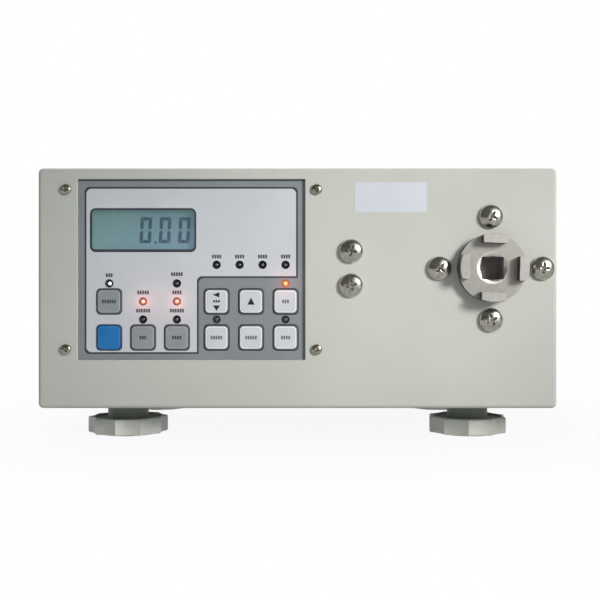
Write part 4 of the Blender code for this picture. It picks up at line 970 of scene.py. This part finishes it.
def key_marks(node, place):
    """The shapes on the top of a key."""
    x, z = place.x, place.z
    shapes = []
    for corners in ARROWS.get(node, ()):
        shapes.append((draw, [(x + across, z + up) for across, up in corners]))
    if node == "right_key_1":
        shapes.append((draw_blocks, x, z + BETWEEN_RISE, BETWEEN_WIDTH, BETWEEN_HEIGHT))
    if node in MARK_WIDTHS:
        shapes.append((draw_blocks, x, z, MARK_WIDTHS[node], KEY_MARK_HEIGHT))
    return shapes


def keys():
    on_top = KEY_FRONT + KEY_DISH
    for node in KEYS:
        place = centre_of(node)
        bm = key_body(place)
        shapes = key_marks(node, place)
        if shapes:
            join(bm, plate(on_top - INK, on_top + INK, *shapes), MARK)
        top, frame_shade, mark, rim_highlight = "key_grey", "key_frame", "label_ink", "grey_rim"
        if node.startswith("right"):
            mark = "black_ink" if node in ARROWS else "key_mark"
            top, rim_highlight = "key_white", "white_rim"
        elif node == "left_key_2":
            top, frame_shade, rim_highlight = "key_blue", "blue_frame", "blue_rim"
        piece(node.replace("key", "cap"), bm, node, [top, frame_shade, mark, rim_highlight], [node])


keys()

# Lamps: a domed lens over each light on the board
LAMP_RADIUS = 0.0016
LAMP_CORE, LIT_CORE = 0.00066, 0.00085
LAMP_TIP = PANEL_FRONT + 0.0001
LAMP_END = 0.0062


def lamps():
    for name, (x, z) in LAMPS.items():
        profile = [
            (LAMP_RADIUS * sine, LAMP_TIP + LAMP_RADIUS * (1 - cosine)) for sine, cosine in quarter(8)
        ]
        profile += [(LAMP_RADIUS, LAMP_END), (0.0, LAMP_END)]
        lens = set_place(spun(profile, 24), at_front(x, z))
        core = LIT_CORE if name in LIT else LAMP_CORE
        aside = LAMP_CORE / 2 if name == "power" else 0.0
        # Within the core the lens takes its second finish: on a lit lamp its glow, and on an unlit lamp
        # a lighter die that is partly a painted highlight
        for face in lens.faces:
            middle = face.calc_center_median()
            if math.hypot(middle.x - x - aside, middle.z - z) < core:
                face.material_index = 1
        dark = ("dull_lens", "dull_die") if name in DULL else ("smoked_lens", "lamp_die")
        piece(f"lamp_{name}", lens, "case", LIT.get(name, dark))


lamps()

# Screws: a domed head with a cross recess, and a threaded shank
SKIRT_SHARE, HEAD_EDGE = 0.30, 0.0001
THREAD_ROOT, THREAD_TIP = 0.86, 0.7
BLADE_TAPER = (0.4, 1, 0.7)
BIG_LENGTH, BIG_PITCH, BIG_RECESS = 0.0093, 0.0010, (0.0068, 0.0014, 0.0020)
SMALL_PITCH, SMALL_RECESS = 0.0005, (0.0036, 0.0009, 0.0011)
BIG_TURN, SMALL_TURN, NEXT_TURN = math.radians(32), math.radians(20), 1.1


def thread(start, turns, pitch, radius):
    """Crests and roots along a shank, as distances and radii."""
    steps = []
    for k in range(turns):
        low = start + pitch * (k + 0.5)
        steps += [(low, radius), (low + pitch / 2, radius * THREAD_ROOT)]
    return steps


def screw(head, height, shank, length, pitch, recess, steps):
    """Along +Y, with the underside of the head at y = 0."""
    skirt = SKIRT_SHARE * height
    profile = [(head * sine, -skirt - (height - skirt) * cosine) for sine, cosine in quarter(8)]
    profile += [(head, -HEAD_EDGE), (head - HEAD_EDGE, 0.0), (shank, 0.0)]
    turns = int(length / pitch) - 1
    profile += [(radius, depth) for depth, radius in thread(0.0, turns, pitch, shank)]
    profile += [(shank * THREAD_ROOT, length - pitch / 2), (shank * THREAD_TIP, length), (0.0, length)]
    bm = spun(profile, steps)
    span, width, depth = recess
    blades = []
    for turn in (0, QUARTER_TURN):
        start, end = -height - depth / 4, depth - height
        blade = block((-span / 2, start, -width / 2), (span / 2, end, width / 2))
        tip = [v for v in blade.verts if v.co.y > start + GAP / 10]
        bmesh.ops.scale(blade, verts=tip, vec=BLADE_TAPER)
        blades.append(set_place(blade, Matrix.Rotation(turn, 4, "Y")))
    bm = cut(bm, *blades)
    near = lambda edge: all(math.hypot(v.co.x, v.co.z) < span * 0.6 and v.co.y < 0 for v in edge.verts)
    round_off(bm, both(crisp, near), width * 0.09, 2)
    return bm


def place_screws(nodes, pattern, height, facing, slot, finish, first_turn):
    """Copies of a screw in place of the solids, each turned its own way."""
    for k, node in enumerate(nodes):
        low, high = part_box(node)
        middle = (low + high) / 2
        out = Vector(facing[k] if isinstance(facing, list) else facing)
        reach = max(out.dot(low - middle), out.dot(high - middle)) - height
        turn = out.to_track_quat("-Y", "Z").to_matrix().to_4x4()
        spin = Matrix.Rotation(first_turn + NEXT_TURN * k, 4, "Y")
        bm = pattern.copy()
        set_place(bm, Matrix.Translation(middle + out * reach) @ turn @ spin)
        piece(f"{node}_head", bm, "case", [finish], [node])


def screws():
    forward = (0, -1, 0)
    big = screw(BIG_HEAD, BIG_HEAD_HEIGHT, BIG_SCREW, BIG_LENGTH, BIG_PITCH, BIG_RECESS, 48)
    place_screws(BIG_SCREWS, big, BIG_HEAD_HEIGHT, forward, "big_screw_steel", "chrome", BIG_TURN)
    big.free()
    size = (SMALL_HEAD, SMALL_HEAD_HEIGHT, SMALL_SCREW)
    for name, length, facing in (
        ("panel_screw", 0.0054, forward),
        ("cover_screw", 0.0050, [(-1, 0, 0), (1, 0, 0)] * 2),
        ("rear_screw", 0.0069, (0, 1, 0)),
    ):
        small = screw(*size, length, SMALL_PITCH, SMALL_RECESS, 32)
        given = (small, SMALL_HEAD_HEIGHT, facing, "small_screw_steel", "nickel", SMALL_TURN)
        place_screws(numbered(name, 4), *given)
        small.free()


screws()

# Torque socket: a disc with four jaws, a square drive with a wide mouth, and the shaft
JAW_INNER, JAW_WIDTH, JAW_TURN = 0.0121, 0.0118, math.radians(-2)
DRIVE_SQUARE, DRIVE_CORNER, DRIVE_DEPTH = 0.0110, 0.0006, 0.0120
MOUTH_RADIUS, MOUTH_WIDTH, MOUTH_LIP, MOUTH_DEPTH = 0.0080, 0.0026, 0.0015, 0.0026
BOSS_END, SHAFT_RADIUS = 0.0085, 0.0075
FAR = SOCKET_RADIUS * 1.4
CHAMFER, SOFT_EDGE = 0.0004, 0.0002
INSIDE, MOUTH, SIDE, JAW_FACE = 1, 2, 3, 4


def torque_socket():
    shaft_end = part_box("torque_socket")[1].y - FRONT
    profile = [
        (0.0, JAW_FRONT),
        (SOCKET_RADIUS - CHAMFER, JAW_FRONT),
        (SOCKET_RADIUS, JAW_FRONT + CHAMFER),
        (SOCKET_RADIUS, DISC_BACK - CHAMFER),
        (SOCKET_RADIUS - CHAMFER, DISC_BACK),
        (BOSS_RADIUS, DISC_BACK),
        (BOSS_RADIUS, BOSS_END),
        (SHAFT_RADIUS, BOSS_END),
        (SHAFT_RADIUS, shaft_end - CHAMFER),
        (SHAFT_RADIUS - CHAMFER, shaft_end),
        (0.0, shaft_end),
    ]
    body = set_place(spun(profile, 96), at_front(SOCKET.x, SOCKET.z))
    half = JAW_WIDTH / 2
    corners = []
    for k in range(4):
        cosine, sine = math.cos(QUARTER_TURN * k), math.sin(QUARTER_TURN * k)
        for x, z in ((JAW_INNER, half), (FAR, half), (FAR, FAR), (half, FAR), (half, JAW_INNER)):
            corners.append((x * cosine - z * sine, x * sine + z * cosine))
    turn = Matrix.Translation((SOCKET.x, 0, SOCKET.z)) @ Matrix.Rotation(-JAW_TURN, 4, "Y")
    between = set_place(plate(JAW_FRONT - CHAMFER, DISC_FRONT, (draw, corners)), turn)
    before, bottom = DISC_FRONT - GAP, DISC_FRONT + MOUTH_DEPTH
    sides = (DRIVE_SQUARE, DRIVE_SQUARE, DRIVE_CORNER, 3)
    square = plate(before, DISC_FRONT + DRIVE_DEPTH, (draw_box, SOCKET.x, SOCKET.z, *sides))
    mouth_profile = [(0.0, before), (MOUTH_RADIUS, before)]
    for sine, cosine in quarter(8):
        mouth_profile.append((MOUTH_RADIUS - MOUTH_WIDTH * sine, DISC_FRONT + MOUTH_LIP * (1 - cosine)))
    mouth_profile += [(MOUTH_RADIUS - MOUTH_WIDTH, bottom), (0.0, bottom)]
    mouth = set_place(spun(mouth_profile, 64), at_front(SOCKET.x, SOCKET.z))
    body = cut(body, between, square, mouth)
    front_only = lambda edge: all(v.co.y < FRONT - 0.001 for v in edge.verts)
    round_off(body, both(crisp, front_only), SOFT_EDGE, 2)
    body.normal_update()
    inner = DRIVE_SQUARE / 2 + GAP
    for face in body.faces:
        middle = face.calc_center_median()
        across, up, depth = middle.x - SOCKET.x, middle.z - SOCKET.z, middle.y - FRONT
        in_square = abs(across) < inner and abs(up) < inner
        upright = abs(face.normal.y) < 0.3
        in_floor = abs(depth - DISC_FRONT - DRIVE_DEPTH) < GAP
        # The square's walls and floor take a darker, duller finish: painted shade in the hollow
        if in_square and (upright and depth > DISC_FRONT + GAP or in_floor):
            face.material_index = INSIDE
        elif math.hypot(across, up) < MOUTH_RADIUS and DISC_FRONT < depth < 0:
            face.material_index = MOUTH
        elif upright and depth < 0:
            face.material_index = SIDE
        elif depth < JAW_FRONT + GAP:
            face.material_index = JAW_FACE
    finishes = ["socket_steel", "drive_black", "mouth_bright", "socket_shade", "jaw_ground"]
    piece("clawed_socket", body, "case", finishes, ["torque_socket"])


torque_socket()

# Levelling feet: a wheel with hollow flutes on a neck and stud, and a rubber pad
FLUTES, FLUTE_DEPTH = 10, 0.0011
WHEEL_RADIUS, WHEEL_LOW, WHEEL_TOP = 0.0210, 0.0006, 0.0092
WHEEL_ROUND = 0.0009
HOLLOW_RADIUS, HOLLOW_DEPTH, HOLLOW_TAPER = 0.0180, 0.0012, 0.0003
NECK_RADIUS, NECK_FILLET = 0.01075, 0.0008
STUD_RADIUS, STUD_PITCH, STUD_CHAMFER = 0.0040, 0.00125, 0.0004
PAD_RADIUS, PAD_TOP, PAD_ROUND = 0.0160, 0.0026, 0.0006
RING_STEPS = 160
WHEEL_TURNS = (9.2, 10.7, -5.0, 14.0)


def fluted(radius):
    """Radius at an angle: straight hollows between sharp ridges."""

    def at(angle):
        share = angle * FLUTES / (2 * HALF_TURN) % 1
        chord = math.cos(HALF_TURN / FLUTES) / math.cos((share - 0.5) * 2 * HALF_TURN / FLUTES)
        return radius * chord * (1 - FLUTE_DEPTH / WHEEL_RADIUS * 4 * share * (1 - share))

    return at


def stacked(rings, steps):
    """A closed surface through rings up the Z axis, each a height and a radius or its rule."""
    bm = bmesh.new()
    bmesh.ops.create_circle(bm, cap_ends=False, segments=steps, radius=1)
    verts, ring = bm.verts[:], bm.edges[:]
    first = ring
    for k, (height, radius) in enumerate(rings):
        if k:
            verts, ring, faces = carry_on(bm, ring)
        for vert in verts:
            angle = math.atan2(vert.co.y, vert.co.x)
            out = radius(angle) if callable(radius) else radius
            vert.co = (out * math.cos(angle), out * math.sin(angle), height)
    for end in (first, ring):
        bmesh.ops.edgeloop_fill(bm, edges=end)
    bmesh.ops.recalc_face_normals(bm, faces=bm.faces)
    return bm


def feet():
    stud_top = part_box("foot_wheel_1")[1].z
    neck_top = BASE + SHEET
    floor = WHEEL_TOP - HOLLOW_DEPTH
    rings = [
        (PAD_TOP + GAP, PAD_RADIUS * 0.5),
        (PAD_TOP + GAP, PAD_RADIUS + GAP),
        (WHEEL_LOW, PAD_RADIUS + GAP),
    ]
    for sine, cosine in quarter(4):
        inset, rise = WHEEL_ROUND * (1 - sine), WHEEL_ROUND * (1 - cosine)
        rings.append((WHEEL_LOW + rise, fluted(WHEEL_RADIUS - inset)))
    for sine, cosine in quarter(4):
        inset, fall = WHEEL_ROUND * (1 - cosine), WHEEL_ROUND * (1 - sine)
        rings.append((WHEEL_TOP - fall, fluted(WHEEL_RADIUS - inset)))
    rings += [
        (WHEEL_TOP, HOLLOW_RADIUS),
        (floor, HOLLOW_RADIUS - HOLLOW_TAPER),
        (floor, NECK_RADIUS + NECK_FILLET),
        (floor + NECK_FILLET / 4, NECK_RADIUS + NECK_FILLET / 4),
        (floor + NECK_FILLET, NECK_RADIUS),
        (neck_top, NECK_RADIUS),
        (neck_top, STUD_RADIUS),
    ]
    rings += thread(neck_top, int((stud_top - neck_top) / STUD_PITCH) - 1, STUD_PITCH, STUD_RADIUS)
    rings.append((stud_top - STUD_CHAMFER, STUD_RADIUS * THREAD_ROOT))
    rings.append((stud_top, STUD_RADIUS * THREAD_TIP))
    wheel = stacked(rings, RING_STEPS)
    pad_rings = [
        (0.0, PAD_RADIUS * 0.5),
        (0.0, PAD_RADIUS - PAD_ROUND),
        (PAD_ROUND / 2, PAD_RADIUS - PAD_ROUND / 3),
        (PAD_ROUND, PAD_RADIUS),
        (PAD_TOP, PAD_RADIUS),
        (PAD_TOP, PAD_RADIUS * 0.5),
    ]
    pad = stacked(pad_rings, 64)
    # The hollow's floor, the neck and the stud take a darker finish: painted shade under the case
    for face in wheel.faces:
        middle = face.calc_center_median()
        inside = math.hypot(middle.x, middle.y) < HOLLOW_RADIUS
        face.material_index = int(inside and middle.z > floor - GAP)
    for i, turn in enumerate(WHEEL_TURNS, 1):
        place = centre_of(f"foot_pad_{i}")
        stand = Matrix.Translation((place.x, place.y, 0))
        turned = stand @ Matrix.Rotation(math.radians(turn), 4, "Z")
        for pattern, kind, slot, finishes, matrix in (
            (wheel, "wheel", "wheel_grey", ["wheel_grey", "neck_grey"], turned),
            (pad, "pad", "pad_rubber", ["pad_rubber"], stand),
        ):
            bm = set_place(pattern.copy(), matrix)
            node = f"foot_{kind}_{i}"
            piece(f"levelling_{kind}_{i}", bm, node, finishes, [node], 20)
    wheel.free()
    pad.free()


feet()

# Blank sticker above the screws of the beam
STICKER = (0.04635, BASE + 0.10485, 0.0358, 0.0147, 0.0008)
STICKER_THICKNESS = 0.00005
sticker = plate(-STICKER_THICKNESS, 0.0, (draw_box, *STICKER))
piece("blank_sticker", sticker, "case", ["sticker_film"])

# Data socket on the back: a flange, a tapered shell round the pin holes, and two posts
SHELL_WALL, SHELL_TAPER, SHELL_CORNER = 0.0005, 0.88, 0.0016
SHELL_HALF_WIDTH, SHELL_HALF_HEIGHT, SHELL_REACH = 0.00825, 0.00415, 0.0058
FLANGE_SHEET, FLANGE = 0.0009, (0.0308, 0.0125, 0.0016)
PIN_PITCH, PIN_ROW, PIN_HOLE = 0.0023, 0.0011, 0.00055
POST_ASIDE, POST_RADIUS, POST_BORE, POST_HEIGHT = 0.0125, 0.0028, 0.0013, 0.0048


def shell_outline(bm, x, z, inset):
    """The tapered outline of the shell."""
    w, h = SHELL_HALF_WIDTH - inset, SHELL_HALF_HEIGHT - inset
    low = w * SHELL_TAPER
    draw(bm, [(x + w, z + h), (x - w, z + h), (x - low, z - h), (x + low, z - h)], SHELL_CORNER)


def data_socket():
    low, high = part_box("data_socket")
    x, z = (low.x + high.x) / 2, (low.z + high.z) / 2
    end = high.y - FRONT
    flange_back = end - SHELL_REACH
    flange_front = flange_back - FLANGE_SHEET
    outer, inner = (shell_outline, x, z, 0.0), (shell_outline, x, z, SHELL_WALL)
    bm = plate(flange_front, flange_back, (draw_box, x, z, *FLANGE))
    join(bm, plate(flange_back, end, outer, inner))
    pins = [
        (draw_circle, x + (k - (count - 1) / 2) * PIN_PITCH, z + rise, PIN_HOLE, 12)
        for rise, count in ((PIN_ROW, 5), (-PIN_ROW, 4))
        for k in range(count)
    ]
    join(bm, plate(flange_back, end - FLANGE_SHEET, inner, *pins), 1)
    join(bm, plate(low.y - FRONT, flange_front, outer), 1)
    for middle in (x - POST_ASIDE, x + POST_ASIDE):
        rims = [(draw_circle, middle, z, POST_RADIUS, 6), (draw_circle, middle, z, POST_BORE, 16)]
        join(bm, plate(flange_back, flange_back + POST_HEIGHT, *rims))
    finishes = ["port_shell", "black_plastic"]
    piece("data_port", bm, "case", finishes, ["data_socket"])


data_socket()

# Charging jack on the back: a threaded body with its nut, and a pin in its bore
JACK_BODY, JACK_THREAD, JACK_ROOT, JACK_MOUTH = 0.0060, 0.0040, 0.0037, 0.0038
JACK_PITCH, JACK_BORE, JACK_DEPTH = 0.0007, 0.0027, 0.0080
PIN_RADIUS, PIN_SHOULDER, PIN_TIP = 0.00065, 0.0012, 0.0010
NUT_RADIUS, NUT_BORE, NUT_HEIGHT, NUT_EDGE = 0.0064, 0.0041, 0.0022, 0.0002


def charge_jack():
    low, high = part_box("charge_jack")
    x, z = (low.x + high.x) / 2, (low.z + high.z) / 2
    start, end = low.y - FRONT, high.y - FRONT
    panel_front, panel_back = [corner.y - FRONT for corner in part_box("rear_panel")]
    shoulder = panel_front - GAP
    profile = [(0.0, start), (JACK_BODY, start), (JACK_BODY, shoulder), (JACK_THREAD, shoulder)]
    for k in range(int((end - panel_front) / JACK_PITCH)):
        crest = panel_front + JACK_PITCH * k
        profile += [(JACK_THREAD, crest), (JACK_ROOT, crest + JACK_PITCH / 2)]
    profile += [(JACK_MOUTH, end), (JACK_BORE, end), (JACK_BORE, end - JACK_DEPTH)]
    profile += [(PIN_RADIUS, end - JACK_DEPTH), (PIN_RADIUS, end - PIN_SHOULDER), (0.0, end - PIN_TIP)]
    bm = set_place(spun(profile, 32), at_front(x, z))
    rims = [(draw_circle, x, z, NUT_RADIUS, 6), (draw_circle, x, z, NUT_BORE, 32)]
    nut = plate(panel_back + GAP, panel_back + GAP + NUT_HEIGHT, *rims)
    round_off(nut, crisp, NUT_EDGE, 2)
    join(bm, nut, 1)
    finishes = ["black_plastic", "port_shell"]
    piece("charging_port", bm, "case", finishes, ["charge_jack"])


charge_jack()

# Finishes of the solids that stay visible
for finish, nodes in {
    "case_paint": ["rear_panel"],
    "zinc_sheet": ["base_tray"],
    "grey_film": ["key_panel"],
    "board_mask": ["main_board"],
    "milled_aluminium": ["bearing_housing", "beam_block", "bending_beam", "lever_arm"],
    "bearing_steel": ["front_bearing", "rear_bearing"],
    "nickel": ["beam_screw_1", "beam_screw_2", "link_screw_1"],
    "cell_wrap": ["battery_pack"],
    "strap_steel": ["battery_strap"],
}.items():
    for node in nodes:
        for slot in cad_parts[node].material_slots:
            slot.link = "OBJECT"
            slot.material = MATERIALS[finish]

# Camera, in line with the middle of the recessed panel's height
CAMERA_X, CAMERA_RISE, CAMERA_AWAY = 0.00124, 0.05383, 0.475
LENS, SENSOR = 57.45, 36
camera = add_object("camera", bpy.data.cameras.new("camera"))
camera.location = (CAMERA_X, FRONT - CAMERA_AWAY, BASE + CAMERA_RISE)
camera.rotation_euler = (QUARTER_TURN, 0, 0)
camera.data.lens = LENS
camera.data.sensor_width = SENSOR
camera.data.clip_start = 0.01
bpy.context.scene.camera = camera

# Studio: a world and a floor that the camera sees as white, and a tent that shiny surfaces show
WHITE, WORLD_LIGHT, WORLD_STRENGTH = (1, 1, 1, 1), (0.88, 0.95, 1.0, 1), 0.295
FLOOR_SIZE, FLOOR_DROP = 6, 0.0001
FLOOR_GREY = srgb(212, 212, 212)
FADE = (0.10, 0.28, 0.92, 1.0)
TENT_RADIUS, TENT_BACK, TENT_LIFT = 1.5, 0.1, 0.001
TENT_SHADE, BENCH_GLINT, PATCH_GLOW = (0.12, 0.122, 0.118, 1), (0.50, 0.50, 0.48, 1), (1, 1, 0.97, 1)
PATCH_EDGE, PATCH_FULL = math.cos(math.radians(30)), math.cos(math.radians(14))
UNSEEN_BY = ("camera", "diffuse", "transmission", "volume_scatter", "shadow")


def studio_world():
    world = bpy.data.worlds.new("studio")
    world.use_nodes = True
    world.node_tree.nodes.clear()
    nodes = Nodes(world.node_tree)
    fill = nodes.node("ShaderNodeBackground", values={0: WORLD_LIGHT, 1: WORLD_STRENGTH})
    white = nodes.node("ShaderNodeBackground", values={0: WHITE, 1: 1.0})
    choice = nodes.node("ShaderNodeMixShader", values={0: nodes.seen_directly(), 1: fill, 2: white})
    nodes.node("ShaderNodeOutputWorld", values={0: choice}, output=None)
    bpy.context.scene.world = world


def staged(name, bm, finish):
    """A mesh that belongs to the studio."""
    mesh = mesh_of(name, bm)
    mesh.materials.append(finish.material)
    made = add_object(name, mesh)
    return made


def studio_floor():
    """A pale floor that clears to the white background, and keeps a shadow near the feet."""
    bm = bmesh.new()
    under = Matrix.Translation((0, 0, -FLOOR_DROP))
    bmesh.ops.create_grid(bm, x_segments=1, y_segments=1, size=FLOOR_SIZE, matrix=under)
    finish = Finish("floor_white", Roughness=0.9, Specular_IOR_Level=0.1, Base_Color=FLOOR_GREY)
    staged("floor", bm, finish)
    fade = finish.spread(finish.vectors("LENGTH", finish.place()), *FADE)
    clear_part = finish.node("ShaderNodeBsdfTransparent")
    matt = Signal(finish, finish.shader.outputs[0])
    values = {0: fade * finish.seen_directly(), 1: matt, 2: clear_part}
    finish.show(finish.node("ShaderNodeMixShader", values=values))


def studio_tent(centre, way):
    """A dark shell with one bright patch, which only shiny surfaces show."""
    bm = bmesh.new()
    bmesh.ops.create_uvsphere(bm, u_segments=48, v_segments=24, radius=TENT_RADIUS)
    behind = [vert for vert in bm.verts if vert.co.y > TENT_BACK]
    bmesh.ops.delete(bm, geom=behind, context="VERTS")
    under = Matrix.Translation((0, 0, TENT_LIFT - centre.z))
    bmesh.ops.create_circle(bm, cap_ends=True, segments=48, radius=TENT_RADIUS, matrix=under)
    finish = Finish("tent_dark")
    tent = staged("tent", set_place(bm, Matrix.Translation(centre)), finish)
    for rays in UNSEEN_BY:
        setattr(tent, f"visible_{rays}", False)
    bench = finish.spread(finish.axis("Z"), 0.01, 0.02)
    out = finish.vectors("NORMALIZE", finish.place(centre), output="Vector")
    patch = finish.spread(finish.vectors("DOT_PRODUCT", out, way), PATCH_EDGE, PATCH_FULL)
    colour = finish.mix(patch, finish.mix(bench, BENCH_GLINT, TENT_SHADE), PATCH_GLOW)
    finish.show(finish.node("ShaderNodeEmission", values={"Color": colour, "Strength": 1.0}))


SOCKET_FRONT = Vector((SOCKET.x, FRONT, SOCKET.z))
KEY_WAY = Vector((0.75, -1.0, 0.42)).normalized()
BACK_WAY = Vector((-0.3, 0.5, 1.0)).normalized()
studio_world()
studio_floor()
studio_tent(SOCKET_FRONT, KEY_WAY)

# Area lights, each with its place, what it shines at, its size, power, colour and spread
KEY_COLOUR, BACK_COLOUR = (1.0, 0.985, 0.96), (0.98, 0.99, 1.0)
AREA_LIGHTS = {
    "key": (SOCKET_FRONT + KEY_WAY * 0.6, (0.015, FRONT, 0.08), 0.20, 0.240, KEY_COLOUR, 42),
    "back": (Vector(SOCKET) + BACK_WAY * 1.3, (0, 0, 0.07), 0.7, 6.5, BACK_COLOUR, 180),
}
GLOWING = ("left_middle_1", "left_middle_2", "right_top")
GLOW = {"energy": 0.0006, "color": (1.0, 0.30, 0.24), "shadow_soft_size": 0.001}
GLOW_AWAY = 0.0032


def add_light(name, data_name, kind, place, settings):
    light = add_object(name, bpy.data.lights.new(data_name, kind))
    light.location = place
    for setting, value in settings.items():
        setattr(light.data, setting, value)
    return light


for name, (place, aim, size, power, colour, spread) in AREA_LIGHTS.items():
    beam = {"shape": "DISK", "size": size, "energy": power, "color": colour}
    light = add_light(name, name, "AREA", place, beam)
    light.data.spread = math.radians(spread)
    light.rotation_euler = (Vector(aim) - place).to_track_quat("-Z", "Y").to_euler()
for name in GLOWING:
    x, z = LAMPS[name]
    add_light(f"glow_{name}", "glow", "POINT", (x, FRONT - GLOW_AWAY, z), GLOW)

bpy.context.scene.view_settings.view_transform = "Standard"
